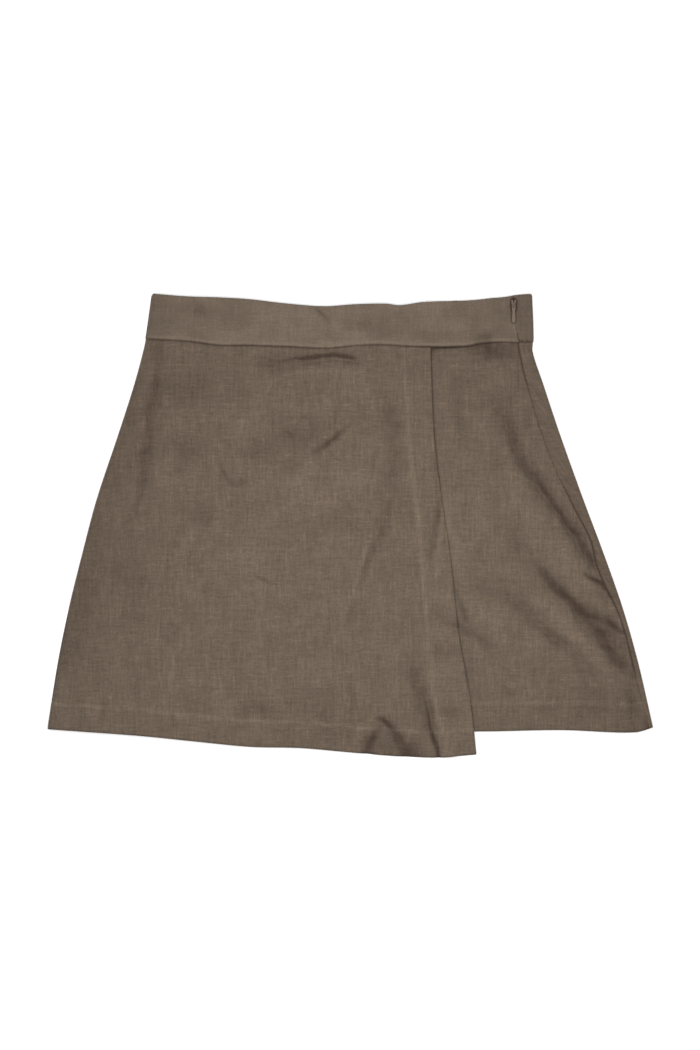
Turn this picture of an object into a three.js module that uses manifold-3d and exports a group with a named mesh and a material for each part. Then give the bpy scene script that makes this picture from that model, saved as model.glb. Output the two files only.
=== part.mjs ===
// A wrap-front skort in linen, laid flat on its back: a pair of short, wide-legged shorts whose front is covered by
// one wrap panel, on a waistband that closes with a concealed zip at the wearer's left side.
// Millimetres. +X points to the wearer's left, +Y to the waist and +Z up from the surface that the skort lies on.
// "down" is the distance below the highest point of the waistband, measured along -Y.
import * as THREE from "three";
import { mergeVertices } from "three/addons/utils/BufferGeometryUtils.js";
import Module from "manifold-3d";

// ---- Cloth, layers and clearances ----
const LINEN = 1.2; // wall of one layer of linen
const BAND = 1.8; // waistband, folded double over its interfacing
const TAPE = 1.0; // zip tape
const GAP = 0.3; // left between layers and across each seam
const HALF_GAP = GAP / 2;

const TAPE_TOP = BAND + GAP + TAPE;
const LEG_TOP = TAPE_TOP + GAP + LINEN; // outer face of the front legs where they lie flat
const WRAP_TOP = LEG_TOP + GAP + LINEN; // outer face of the wrap panel where it lies flat
const BAND_TOP = TAPE_TOP + GAP + BAND; // outer face of the waistband beside the zip
const BAND_STEP = 1.6; // how much higher the waistband lies where the wrap panel hangs under it
const BAND_WAVE = 0.3; // height of the slow wave along it

// ---- Cut and outline ----
// Outer edge of the flat skort on the wearer's right (left column) and left (right column).
const SIDES = [
  { down: 0, left: -181.5, right: 167.5 },
  { down: 42, left: -187.5, right: 169 },
  { down: 54, left: -190, right: 168 },
  { down: 85, left: -198.4, right: 178 },
  { down: 130, left: -212.8, right: 193 },
  { down: 190, left: -232.8, right: 214.5 },
  { down: 240, left: -246.1, right: 233.3 },
  { down: 290, left: -258.4, right: 250.8 },
  { down: 340, left: -268.6, right: 265 },
  { down: 400, left: -278.1, right: 278.8 },
];
// Upper edge of the waistband, and the seam that joins it to the panels.
const WAIST = [
  { x: -184, top: 1, seam: 42.4 },
  { x: -150, top: 3.8, seam: 44.3 },
  { x: -120, top: 4.8, seam: 48.2 },
  { x: -90, top: 6.6, seam: 48.9 },
  { x: -60, top: 10, seam: 49.6 },
  { x: -22, top: 12.9, seam: 51 },
  { x: 8, top: 11, seam: 48.4 },
  { x: 36, top: 10.6, seam: 48 },
  { x: 48, top: 12, seam: 49.2 },
  { x: 70, top: 9, seam: 50.2 },
  { x: 105, top: 7.8, seam: 49.4 },
  { x: 121, top: 6.6, seam: 46.4 },
  { x: 141, top: 4, seam: 44.9 },
  { x: 156, top: 2.3, seam: 45.4 },
  { x: 168, top: 1.6, seam: 45.2 },
];
const WRAP_HEM = [
  { x: -278, down: 401.4 },
  { x: -197, down: 407 },
  { x: -144, down: 412.3 },
  { x: -92, down: 417.6 },
  { x: -47, down: 418.9 },
  { x: -8, down: 422.4 },
  { x: 42, down: 427.1 },
  { x: 81, down: 428.4 },
  { x: 102, down: 426.1 },
  { x: 116, down: 424.9 },
];
const LEG_HEM = [
  { x: -279, down: 399.5 },
  { x: -150, down: 402.5 },
  { x: 0, down: 404 },
  { x: 115, down: 403.5 },
  { x: 194, down: 402.1 },
  { x: 261, down: 404.3 },
  { x: 279, down: 399.8 },
];
// Free edge of the wrap panel, where it laps over the left leg.
const WRAP_EDGE = [
  { down: 51, x: 74 },
  { down: 129, x: 77 },
  { down: 190, x: 84.1 },
  { down: 245, x: 92.2 },
  { down: 315, x: 99.9 },
  { down: 376, x: 110.4 },
  { down: 425, x: 116 },
];
// How far the left side seam has rolled on to the front, measured from the outer edge.
const SEAM_INSET = [
  { down: 46, inset: 13.2 },
  { down: 55, inset: 12 },
  { down: 80, inset: 14.6 },
  { down: 148, inset: 16 },
  { down: 197, inset: 11.4 },
  { down: 227, inset: 7.4 },
  { down: 255, inset: 10.4 },
  { down: 300, inset: 5 },
  { down: 347, inset: 5.2 },
  { down: 404, inset: 3.2 },
];
// The opening in the waistband: its middle line, and how far its two lips stand apart round the slider.
const ZIP = [
  { down: 0, x: 150.4, apart: 4.4 },
  { down: 7, x: 150.4, apart: 5 },
  { down: 15, x: 150.4, apart: 5 },
  { down: 20, x: 150.4, apart: 1.6 },
  { down: 26, x: 150.6, apart: 0.5 },
  { down: 40, x: 153.4, apart: 0.5 },
  { down: 46, x: 155.2, apart: 0.5 },
];
const CENTRE = { from: 50, to: 400, waist: -10.5, hem: 0.4 }; // the seam between the legs, front and back
const CROTCH = 300; // down to the point where the legs part
const LEG_SPREAD = 12; // from the middle to each inner leg corner at the hem
const ZIP_TOP = 5; // down to the upper end of the zip tape
const ZIP_LENGTH = 170;
const TAPE_WIDTH = 12;
const WRAP_ROLL = 3; // width over which the wrap panel rolls down at the wearer's right
const BAND_ROLL = 3; // the same for the waistband
const HIDDEN_INSET = 4.8; // from the outer edge to the front right leg, inside that roll
const BAND_PEEK = { x: 97, half: 9, rise: 1.9 }; // where the back of the waistband shows above the front
const BAND_BACK_LOW = 1.1; // how far its upper edge otherwise stays below the front's
const BACK_PEEK = { from: 285, to: 385, width: 1.3 }; // where the back shows beside the wrap panel

// ---- Folds ----
// Soft troughs (rise below 0) and ridges (rise above 0). Each runs from its first point through the middle one to the
// last; an open end keeps its full depth, as at a hem.
const LEG_FOLDS = [
  { fromX: 134, fromDown: 98, viaX: 180, viaDown: 187, toX: 240, toDown: 282, width: 9, rise: -2.6 },
  { fromX: 168, fromDown: 252, viaX: 203, viaDown: 286, toX: 238, toDown: 316, width: 8, rise: -2.4 },
  { fromX: 226, fromDown: 309, viaX: 244, viaDown: 326, toX: 260, toDown: 346, width: 8, rise: -1.4 },
  { fromX: 132, fromDown: 266, viaX: 190, viaDown: 318, toX: 252, toDown: 370, width: 9, rise: -1.4 },
  { fromX: 112, fromDown: 316, viaX: 123, viaDown: 324, toX: 136, toDown: 331, width: 6, rise: -1 },
  { fromX: 134, fromDown: 356, viaX: 143, viaDown: 365, toX: 154, toDown: 374, width: 6, rise: -0.8 },
  { fromX: 96, fromDown: 50, viaX: 122, viaDown: 57, toX: 148, toDown: 66, width: 7, rise: -1.8 },
  { fromX: 150, fromDown: 200, viaX: 176, viaDown: 226, toX: 208, toDown: 258, width: 12, rise: 1 },
];
const WRAP_FOLDS = [
  { fromX: -175, fromDown: 56, viaX: -184, viaDown: 124, toX: -202, toDown: 212, width: 8, rise: -1.5 },
  { fromX: -80, fromDown: 64, viaX: -40, viaDown: 61, toX: 5, toDown: 59.5, width: 6, rise: -1.6 },
  { fromX: -46, fromDown: 150, viaX: -22, viaDown: 141, toX: 0, toDown: 122, width: 6, rise: -1 },
  { fromX: 24, fromDown: 222, viaX: 18, viaDown: 250, toX: 9, toDown: 280, width: 7, rise: -0.7 },
  { fromX: 50, fromDown: 322, viaX: 66, viaDown: 378, toX: 83, toDown: 432, width: 7, rise: -2.2, open: true },
  { fromX: 31, fromDown: 392, viaX: 22, viaDown: 408, toX: 15, toDown: 428, width: 6, rise: -2, open: true },
  { fromX: 31, fromDown: 392, viaX: 43, viaDown: 410, toX: 54, toDown: 430, width: 6, rise: -2.2, open: true },
  { fromX: 35, fromDown: 400, viaX: 35, viaDown: 414, toX: 35, toDown: 430, width: 8, rise: 1.8, open: true },
];
const LEG_LOFT = 1.1; // how far the front leg stands off the back in the middle
const WRAP_LOFT = 1.7; // the same for the wrap panel over the legs
const LOFT_WIDTH = 36; // distance from an edge over which a panel rises to that
const SEAM_CALM = 9; // strip beside the zip tape that stays flat
const LEG_RELIEF = { least: -1.8, most: 1.7 };
const LEG_DROOP = { depth: 1, length: 30 }; // how the front legs sink towards their hem
const WRAP_DROOP = 0.75; // share of that by which the wrap panel follows them
const OVERHANG = { depth: 2.2, length: 22 }; // how the wrap panel sinks further below the leg hem
const WRAP_RELIEF = { least: 0, most: 3.6 };

// ---- Curves ----
const clamp = (value, least, most) => Math.min(most, Math.max(least, value));
const mix = (a, b, share) => a + (b - a) * share;
const ease = (value) => {
  const t = clamp(value, 0, 1);
  return t * t * (3 - 2 * t);
};

// A smooth curve through a table's rows: column `to` as a function of column `from`.
function through(rows, from, to) {
  const at = rows.map((row) => row[from]);
  const value = rows.map((row) => row[to]);
  const last = rows.length - 1;
  const slope = rows.map((_, i) => {
    const before = Math.max(i - 1, 0);
    const after = Math.min(i + 1, last);
    return (value[after] - value[before]) / (at[after] - at[before]);
  });
  return (x) => {
    const i = clamp(at.findIndex((a) => a > x) - 1, 0, last - 1);
    const k = x >= at[last] ? last - 1 : i;
    const step = at[k + 1] - at[k];
    const t = (x - at[k]) / step;
    if (t < 0) return value[0] + slope[0] * (x - at[0]);
    if (t > 1) return value[last] + slope[last] * (x - at[last]);
    const rise = value[k + 1] - value[k];
    const startBend = slope[k] * step - rise;
    const endBend = rise - slope[k + 1] * step;
    return value[k] + rise * t + t * (1 - t) * (startBend * (1 - t) + endBend * t);
  };
}

const leftSide = through(SIDES, "down", "left");
const rightSide = through(SIDES, "down", "right");
const bandTopEdge = through(WAIST, "x", "top");
const waistSeam = through(WAIST, "x", "seam");
const wrapHem = through(WRAP_HEM, "x", "down");
const legHem = through(LEG_HEM, "x", "down");
const wrapEdge = through(WRAP_EDGE, "down", "x");
const seamInset = through(SEAM_INSET, "down", "inset");
const zipLine = through(ZIP, "down", "x");
const zipApart = through(ZIP, "down", "apart");

// Upper edge of the waistband's back: below the front's, but for one place where it shows above it.
function backTopEdge(x) {
  const peek = Math.exp(-(((x - BAND_PEEK.x) / BAND_PEEK.half) ** 2));
  const low = BAND_BACK_LOW * (1 - ease((x - 120) / 20));
  return bandTopEdge(x) + low - BAND_PEEK.rise * peek;
}

// Left edge of the wrap panel.
function wrapSide(down) {
  const { from, to, width } = BACK_PEEK;
  return leftSide(down) + width * ease((down - from) / 25) * ease((to - down) / 25);
}

const middle = (down) => mix(CENTRE.waist, CENTRE.hem, (down - CENTRE.from) / (CENTRE.to - CENTRE.from));
const sideSeam = (down) => rightSide(down) - seamInset(down);
const legParting = (down) => HALF_GAP + LEG_SPREAD * clamp((down - CROTCH) / (400 - CROTCH), 0, 1.1);

// ---- Relief of the front layers ----
const FOLD_STEPS = 14;

function foldLine(fold) {
  const viaPull = (via, from, to) => 2 * via - (from + to) / 2;
  const line = new THREE.QuadraticBezierCurve(
    new THREE.Vector2(fold.fromX, fold.fromDown),
    new THREE.Vector2(
      viaPull(fold.viaX, fold.fromX, fold.toX),
      viaPull(fold.viaDown, fold.fromDown, fold.toDown),
    ),
    new THREE.Vector2(fold.toX, fold.toDown),
  );
  return { ...fold, points: line.getPoints(FOLD_STEPS) };
}

// Height that the folds add at a point: a bell across each fold, faded out towards its closed ends.
function foldRise(folds, x, down) {
  let sum = 0;
  for (const fold of folds) {
    let nearest = Infinity;
    let along = 0;
    for (let i = 0; i < FOLD_STEPS; i += 1) {
      const a = fold.points[i];
      const b = fold.points[i + 1];
      const length2 = a.distanceToSquared(b);
      const share = clamp(((x - a.x) * (b.x - a.x) + (down - a.y) * (b.y - a.y)) / length2, 0, 1);
      const away = Math.hypot(x - mix(a.x, b.x, share), down - mix(a.y, b.y, share));
      if (away < nearest) {
        nearest = away;
        along = (i + share) / FOLD_STEPS;
      }
    }
    const fade = Math.sin(Math.PI * (fold.open ? along / 2 : along));
    sum += fold.rise * Math.exp(-((nearest / fold.width) ** 2)) * Math.sqrt(Math.max(fade, 0));
  }
  return sum;
}

const legFolds = LEG_FOLDS.map(foldLine);
const wrapFolds = WRAP_FOLDS.map(foldLine);

function droop(x, down) {
  const { depth, length } = LEG_DROOP;
  return depth * ease((down - legHem(x)) / length + 1) * ease((sideSeam(down) - x) / 30);
}

// Outer face of the front legs where the wrap panel covers them.
function coveredFace(x, down) {
  return LEG_TOP - droop(x, down);
}

// Outer face of the left leg's front. It lies flat under the wrap panel and beside the zip.
function legFace(x, down) {
  const free = ease((x - wrapEdge(down) - 3) / 18) * ease((sideSeam(down) - SEAM_CALM - x) / 16);
  const loft = LEG_LOFT * ease((down - waistSeam(x)) / LOFT_WIDTH);
  const relief = free * (loft + foldRise(legFolds, x, down));
  const onBack = 2 * LINEN + GAP;
  return Math.max(onBack, coveredFace(x, down) + clamp(relief, LEG_RELIEF.least, LEG_RELIEF.most));
}

// Outer face of the wrap panel.
function wrapFace(x, down) {
  const fromSides = ease((x - leftSide(down) - 4) / LOFT_WIDTH) * ease((wrapEdge(down) - x) / LOFT_WIDTH);
  const loft = WRAP_LOFT * fromSides * ease((down - waistSeam(x) + 4) / LOFT_WIDTH);
  const held = ease((x - leftSide(down) - 3) / 6);
  const relief = loft + held * foldRise(wrapFolds, x, down) * ease((down - waistSeam(x)) / 8);
  const overhang = OVERHANG.depth * ease((down - legHem(x) - 1) / OVERHANG.length);
  const sunk = WRAP_DROOP * droop(x, down) + overhang;
  return WRAP_TOP + clamp(relief, WRAP_RELIEF.least, WRAP_RELIEF.most) - sunk;
}

// Outer face of the waistband: highest over the wrap panel, with a slow wave along it.
function bandFace(x) {
  const overWrap = 1 - ease((x - 74) / 56);
  const wave = BAND_WAVE * (1 + Math.sin(x / 23)) * ease((x + 175) / 40) * ease((130 - x) / 40);
  return BAND_TOP + BAND_STEP * overWrap + wave;
}

// ---- Walls ----
// A closed wall between two grids of points, front[row][column] and rear[row][column]. Rows run down the garment and
// columns across it, so that the front looks along +Z where the columns go the way of +X.
function wall(front, rear) {
  const rows = front.length;
  const columns = front[0].length;
  const half = rows * columns;
  const positions = [...front.flat(), ...rear.flat()].flatMap(({ x, down, z }) => [x, -down, z]);
  const at = (row, column) => row * columns + column;
  const indices = [];
  const quad = (a, b, c, d) => indices.push(a, b, c, a, c, d);
  for (let r = 0; r < rows - 1; r += 1) {
    for (let c = 0; c < columns - 1; c += 1) {
      const [a, b, d, e] = [at(r, c), at(r, c + 1), at(r + 1, c), at(r + 1, c + 1)];
      quad(a, d, e, b);
      quad(half + a, half + b, half + e, half + d);
    }
  }
  const run = (count, edge) => Array.from({ length: count - 1 }, (_, i) => edge(i));
  const rim = [
    ...run(columns, (c) => [at(0, c), at(0, c + 1)]),
    ...run(rows, (r) => [at(r, columns - 1), at(r + 1, columns - 1)]),
    ...run(columns, (c) => [at(rows - 1, c + 1), at(rows - 1, c)]),
    ...run(rows, (r) => [at(r + 1, 0), at(r, 0)]),
  ];
  for (const [a, b] of rim) quad(a, b, half + b, half + a);
  const geometry = new THREE.BufferGeometry();
  geometry.setAttribute("position", new THREE.Float32BufferAttribute(positions, 3));
  geometry.setIndex(indices);
  geometry.computeVertexNormals();
  return geometry;
}

const blend = (p, q, share) => ({ x: mix(p.x, q.x, share), z: mix(p.z, q.z, share) });

// A panel of cloth. Each of its columns gives, at a distance down, where the wall's front and rear lie. Its rows are
// shares of the way from the top edge to the hem, and `pressed` draws front and rear together along both. `span` is
// about how far down those two edges lie.
function panel({ columns, rows, top, hem, span, pressed = 0 }) {
  const front = [];
  const rear = [];
  for (const share of rows) {
    const press = share === 0 || share === 1 ? pressed : 0;
    const placed = columns.map((column) => {
      const down = mix(top(column(span.high).front.x), hem(column(span.low).front.x), share);
      return { down, ...column(down) };
    });
    front.push(placed.map((p) => ({ down: p.down, ...blend(p.front, p.rear, press) })));
    rear.push(placed.map((p) => ({ down: p.down, ...blend(p.rear, p.front, press) })));
  }
  return wall(front, rear);
}

const evenShares = (count) => Array.from({ length: count + 1 }, (_, i) => i / count);

// Columns of a stretch that lies over the ground, at shares of the way between two edges: the front is at
// face(x, down) and the rear lies `thick` below it.
function lying(left, right, shares, face, thick) {
  return shares.map((share) => (down) => {
    const x = mix(left(down), right(down), share);
    const z = face(x, down);
    return { front: { x, z }, rear: { x, z: z - thick } };
  });
}

// Columns of a left edge that rolls down to a foot: quarters of two ellipses, the outer one `reach` wide.
const ROLL_STEPS = 4;
function rolledEdge(edge, reach, face, thick, footZ) {
  return evenShares(ROLL_STEPS).map((share) => (down) => {
    const x = edge(down);
    const height = face(x + reach, down) - footZ;
    const turn = (share * Math.PI) / 2;
    const at = (inset) => ({
      x: x + reach - (reach - inset) * Math.cos(turn),
      z: footZ + (height - inset) * Math.sin(turn),
    });
    return { front: at(0), rear: at(thick) };
  });
}

// Columns of a back piece that lies on the ground and folds up round its right edge, on to the front as a flap. Its
// wall's front looks into the fold.
const TURN_STEPS = 6;
function foldedOver(left, right, flapEnd, groundShares, thick, flapZ) {
  const radius = flapZ / 2;
  const foldLine = (down) => right(down) - radius;
  const turned = evenShares(TURN_STEPS).map((share) => (down) => {
    const turn = share * Math.PI;
    const at = (distance) => ({
      x: foldLine(down) + distance * Math.sin(turn),
      z: radius - distance * Math.cos(turn),
    });
    return { front: at(radius - thick), rear: at(radius) };
  });
  return [
    ...lying(left, foldLine, groundShares, () => thick, thick),
    ...turned,
    ...lying(foldLine, flapEnd, [0.5, 1], () => flapZ - thick, -thick),
  ];
}

// ---- Materials ----
const linen = new THREE.MeshStandardMaterial({ color: 0x6f6155, roughness: 0.92, metalness: 0 });
const bandLinen = new THREE.MeshStandardMaterial({ color: 0x746659, roughness: 0.9, metalness: 0 });
const tapeCloth = new THREE.MeshStandardMaterial({ color: 0x54493f, roughness: 0.88, metalness: 0 });
const lacquer = new THREE.MeshStandardMaterial({ color: 0x7a6c5e, roughness: 0.45, metalness: 0.1 });

const skort = new THREE.Group();
function addPiece(name, geometry, material) {
  const mesh = new THREE.Mesh(geometry, material);
  mesh.name = name;
  skort.add(mesh);
  return mesh;
}

// ---- Legs ----
const LEG = {
  rows: evenShares(24),
  top: (x) => waistSeam(x) + HALF_GAP,
  hem: legHem,
  span: { high: 50, low: 403 },
};
const innerLeft = (down) => middle(down) + legParting(down);
const innerRight = (down) => middle(down) - legParting(down);

const plainRows = evenShares(12); // enough for a leg with no folds
const plainShares = evenShares(14);

function frontLegLeft() {
  const seam = (down) => sideSeam(down) - HALF_GAP;
  return panel({ ...LEG, columns: lying(innerLeft, seam, evenShares(24), legFace, LINEN) });
}

function frontLegRight() {
  const edge = (down) => leftSide(down) + HIDDEN_INSET;
  const columns = lying(edge, innerRight, plainShares, coveredFace, LINEN);
  return panel({ ...LEG, rows: plainRows, columns });
}

function backLegRight() {
  const columns = lying(leftSide, innerRight, plainShares, () => LINEN, LINEN);
  return panel({ ...LEG, rows: plainRows, columns });
}

function backLegLeft() {
  const flapEnd = (down) => sideSeam(down) + HALF_GAP;
  const groundShares = evenShares(13).slice(0, -1);
  const columns = foldedOver(innerLeft, rightSide, flapEnd, groundShares, LINEN, LEG_TOP);
  return panel({ ...LEG, columns });
}

function wrapPanel() {
  const beyondRoll = (down) => wrapSide(down) + WRAP_ROLL;
  const shares = evenShares(26).slice(1);
  return panel({
    ...LEG,
    rows: evenShares(25),
    hem: wrapHem,
    span: { high: 50, low: 415 },
    columns: [
      ...rolledEdge(wrapSide, WRAP_ROLL, wrapFace, LINEN, LINEN + GAP),
      ...lying(beyondRoll, wrapEdge, shares, wrapFace, LINEN),
    ],
  });
}

// ---- Waistband ----
const WAISTBAND = {
  rows: [0, 0.04, 0.16, 0.3, 0.43, 0.6, 0.96, 1],
  hem: (x) => waistSeam(x) - HALF_GAP,
  span: { high: 3, low: 45 },
  pressed: 0.26,
};

function waistbandFront() {
  const lip = (down) => zipLine(down) - zipApart(down) / 2;
  const beyondRoll = (down) => leftSide(down) + BAND_ROLL;
  return panel({
    ...WAISTBAND,
    top: bandTopEdge,
    columns: [
      ...rolledEdge(leftSide, BAND_ROLL, bandFace, BAND, BAND + GAP),
      ...lying(beyondRoll, lip, evenShares(28).slice(1), bandFace, BAND),
    ],
  });
}

function waistbandBack() {
  const lip = (down) => zipLine(down) + zipApart(down) / 2;
  const shares = evenShares(22).slice(0, -1);
  return panel({
    ...WAISTBAND,
    top: backTopEdge,
    columns: foldedOver(leftSide, rightSide, lip, shares, BAND, BAND_TOP),
  });
}

// ---- Zip ----
const SLIDER = { down: 11, length: 9, topWidth: 4.2, tailWidth: 3, thick: 1.6, notch: 2.6, horn: 1.1 };
const BRIDGE = { width: 1.2, length: 3.8, height: 2.3, rail: 0.6, round: 1.1 };
const PULL = { length: 16.5, width: 3.6, thick: 0.9, bar: 0.8, fork: 2, neck: 3, waist: 0.66 };
const PIVOT = { below: 0.55, above: 0.95 }; // from the slider's middle and face to the pull's axis

function zipTape() {
  const centre = (down) => (down < WAISTBAND.span.low ? zipLine(down) : sideSeam(down));
  const edge = (side) => (down) => centre(down) + (side * TAPE_WIDTH) / 2;
  return panel({
    rows: evenShares(12),
    top: () => ZIP_TOP,
    hem: () => ZIP_TOP + ZIP_LENGTH,
    span: { high: ZIP_TOP, low: ZIP_TOP + ZIP_LENGTH },
    columns: lying(edge(-1), edge(1), [0, 1], () => TAPE_TOP, TAPE),
  });
}

// The slider's plate: a wedge with two horns that spread the lips.
function sliderPlate() {
  const { length, topWidth, tailWidth, thick, notch, horn } = SLIDER;
  const end = length / 2;
  const right = [
    [tailWidth / 2, -end],
    [topWidth / 2, end - notch],
    [topWidth / 2, end],
    [topWidth / 2 - horn, end],
  ];
  const left = right.map(([x, y]) => [-x, y]).reverse();
  const corners = [...right, [0, end - notch], ...left];
  const outline = new THREE.Shape(corners.map(([x, y]) => new THREE.Vector2(x, y)));
  return new THREE.ExtrudeGeometry(outline, { depth: thick, bevelEnabled: false });
}

// The bridge on the slider: an arch seen from the side, with a window for the pull's bar. Its height is along +Z.
function sliderBridge() {
  const { width, length, height, rail, round } = BRIDGE;
  const end = length / 2;
  const sunk = 0.2; // into the plate
  const arch = new THREE.Shape();
  arch.moveTo(-end, -sunk);
  arch.lineTo(end, -sunk);
  arch.lineTo(end, height - round);
  arch.quadraticCurveTo(end, height, end - round, height);
  arch.lineTo(round - end, height);
  arch.quadraticCurveTo(-end, height, -end, height - round);
  const window = new THREE.Path();
  window.moveTo(rail - end, 0);
  window.lineTo(end - rail, 0);
  window.lineTo(end - rail, height - rail);
  window.lineTo(rail - end, height - rail);
  arch.holes.push(window);
  const extruded = new THREE.ExtrudeGeometry(arch, { depth: width, bevelEnabled: false, curveSegments: 4 });
  const upright = new THREE.Matrix4().makeBasis(
    new THREE.Vector3(0, 1, 0),
    new THREE.Vector3(0, 0, 1),
    new THREE.Vector3(1, 0, 0),
  );
  return extruded.applyMatrix4(upright).translate(-width / 2, 0, SLIDER.thick);
}

const wasm = await Module();
wasm.setup();

function manifoldOf(geometry) {
  geometry.deleteAttribute("normal");
  geometry.deleteAttribute("uv");
  const merged = mergeVertices(geometry);
  const vertProperties = merged.getAttribute("position").array;
  const triVerts = new Uint32Array(merged.index.array);
  return new wasm.Manifold(new wasm.Mesh({ numProp: 3, vertProperties, triVerts }));
}

function joined(first, second) {
  const mesh = manifoldOf(first).add(manifoldOf(second)).getMesh();
  const geometry = new THREE.BufferGeometry();
  geometry.setAttribute("position", new THREE.BufferAttribute(mesh.vertProperties, 3));
  geometry.setIndex(new THREE.BufferAttribute(mesh.triVerts, 1));
  geometry.computeVertexNormals();
  return geometry;
}

// The pull: a flat drop on a fork, whose bar runs through the bridge. The bar lies on the X axis and the drop along -Y.
function pullTab() {
  const { length, width, thick, bar, fork, neck, waist } = PULL;
  const half = width / 2;
  const slim = half * waist;
  const shoulder = neck + 0.6;
  const bulge = length - half - 1;
  const outline = new THREE.Shape();
  outline.moveTo(half, bar / 2);
  outline.lineTo(-half, bar / 2);
  outline.lineTo(-half, -shoulder);
  outline.bezierCurveTo(-slim, -shoulder - 2, -slim, -shoulder - 4, -half, -bulge);
  outline.quadraticCurveTo(-half, -length, 0, -length);
  outline.quadraticCurveTo(half, -length, half, -bulge);
  outline.bezierCurveTo(slim, -shoulder - 4, slim, -shoulder - 2, half, -shoulder);
  const eye = new THREE.Path();
  eye.moveTo(-fork / 2, -bar / 2);
  eye.lineTo(-fork / 2, -neck);
  eye.lineTo(fork / 2, -neck);
  eye.lineTo(fork / 2, -bar / 2);
  outline.holes.push(eye);
  const tab = new THREE.ExtrudeGeometry(outline, { depth: thick, bevelEnabled: false, curveSegments: 6 });
  return tab.translate(0, 0, -thick / 2);
}

// ---- Assembly ----
addPiece("back_right_leg", backLegRight(), linen);
addPiece("back_left_leg", backLegLeft(), linen);
addPiece("front_right_leg", frontLegRight(), linen);
addPiece("front_left_leg", frontLegLeft(), linen);
addPiece("front_wrap_panel", wrapPanel(), linen);
addPiece("waistband_back", waistbandBack(), bandLinen);
addPiece("waistband_front", waistbandFront(), bandLinen);
addPiece("zip_tape", zipTape(), tapeCloth);

const sliderFoot = TAPE_TOP + GAP;
const slider = addPiece("zip_slider", joined(sliderPlate(), sliderBridge()), lacquer);
slider.position.set(zipLine(SLIDER.down), -SLIDER.down, sliderFoot);
const pull = addPiece("zip_pull", pullTab(), lacquer);
pull.position.copy(slider.position);
pull.position.y -= PIVOT.below;
pull.position.z += SLIDER.thick + PIVOT.above;

// The origin is under the middle of the laid skort.
const extent = new THREE.Box3().setFromObject(skort);
const centre = extent.getCenter(new THREE.Vector3());
skort.position.set(-centre.x, -centre.y, 0);

export default skort;
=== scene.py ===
# Looks of a wrap-front linen skort that lies flat on its back: its cloth, seams, creases, stitches and zip.
# The tables are in millimetres. x points to the wearer's left, "down" is the distance below the waistband's highest
# point, and z is the height above the table. Finished meshes are in metres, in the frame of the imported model.
import math

import bpy
import numpy as np
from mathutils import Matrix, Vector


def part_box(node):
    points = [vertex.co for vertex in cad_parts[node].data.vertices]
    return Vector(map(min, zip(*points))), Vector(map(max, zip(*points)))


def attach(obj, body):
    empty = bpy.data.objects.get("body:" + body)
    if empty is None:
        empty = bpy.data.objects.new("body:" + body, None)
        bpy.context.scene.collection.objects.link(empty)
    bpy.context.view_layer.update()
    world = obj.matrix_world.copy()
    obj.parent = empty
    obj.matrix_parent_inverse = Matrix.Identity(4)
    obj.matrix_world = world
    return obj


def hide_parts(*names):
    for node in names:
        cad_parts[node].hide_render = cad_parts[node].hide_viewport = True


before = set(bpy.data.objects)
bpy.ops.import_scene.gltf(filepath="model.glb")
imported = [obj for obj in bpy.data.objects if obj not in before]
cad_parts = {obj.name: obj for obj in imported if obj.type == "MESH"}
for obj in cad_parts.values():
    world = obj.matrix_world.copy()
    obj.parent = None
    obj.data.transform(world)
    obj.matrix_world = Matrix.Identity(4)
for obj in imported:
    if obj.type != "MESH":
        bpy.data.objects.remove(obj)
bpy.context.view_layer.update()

MM = 0.001

# ---- Cloth, layers and clearances ----
LINEN = 1.2  # room that one layer of linen takes
BAND = 1.8  # waistband, folded double over its interfacing
TAPE = 1.0
GAP = 0.3
TAPE_TOP = BAND + GAP + TAPE
LEG_TOP = TAPE_TOP + GAP + LINEN
WRAP_TOP = LEG_TOP + GAP + LINEN
BAND_TOP = TAPE_TOP + GAP + BAND
BAND_STEP = 1.6  # how much higher the waistband lies over the wrap panel
BAND_WAVE = 0.3
BAND_CROWN = 0.5
CLOTH = 0.8  # thickness of one layer of this linen
TAPE_CLOTH = 0.5
DOUBLED = 0.45  # how much prouder the cloth stands where a hem or facing is turned under it
TUCK = 5.0  # how far the panels run up under the waistband
TUCK_DROP = 1.5
SEAM_DIP = 0.7  # how deep cloth dips into a sewn seam
SEAM_REACH = 1.8  # over which it dips
PUCKER = 0.16
PINCH = 0.32  # how much prouder still it stands along the stitches

# ---- Cut and outline ----
SIDES = {
    "down": (0, 42, 54, 85, 130, 190, 240, 290, 340, 400),
    "left": (-181.5, -187.5, -190, -198.4, -212.8, -232.8, -246.1, -258.4, -268.6, -278.1),
    "right": (167.5, 169, 168, 178, 193, 214.5, 233.3, 250.8, 265, 278.8),
}
WAIST = {
    "x": (-184, -150, -120, -90, -60, -22, 8, 36, 48, 70, 105, 121, 141, 156, 168),
    "top": (1, 3.8, 4.8, 6.6, 10, 12.9, 11, 10.6, 12, 9, 7.8, 6.6, 4, 2.1, 1.3),
    "seam": (42.4, 44.3, 47.9, 48.2, 49.2, 50.6, 48, 47.6, 48.6, 49.4, 48.8, 46.2, 44.9, 45.4, 45.2),
}
WRAP_HEM = {
    "x": (-278, -197, -144, -92, -47, -8, 42, 81, 102, 116),
    "down": (401.4, 407, 412.3, 417.4, 418.5, 421.8, 426.2, 427.4, 425.7, 424.6),
}
LEG_HEM = {"x": (-279, -150, 0, 115, 194, 261, 279), "down": (399.5, 402.5, 404, 403.5, 402.1, 404.3, 399.8)}
WRAP_EDGE = {"down": (51, 129, 190, 245, 315, 376, 425), "x": (74, 77, 84.1, 92.2, 99.9, 110.4, 116)}
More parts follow.
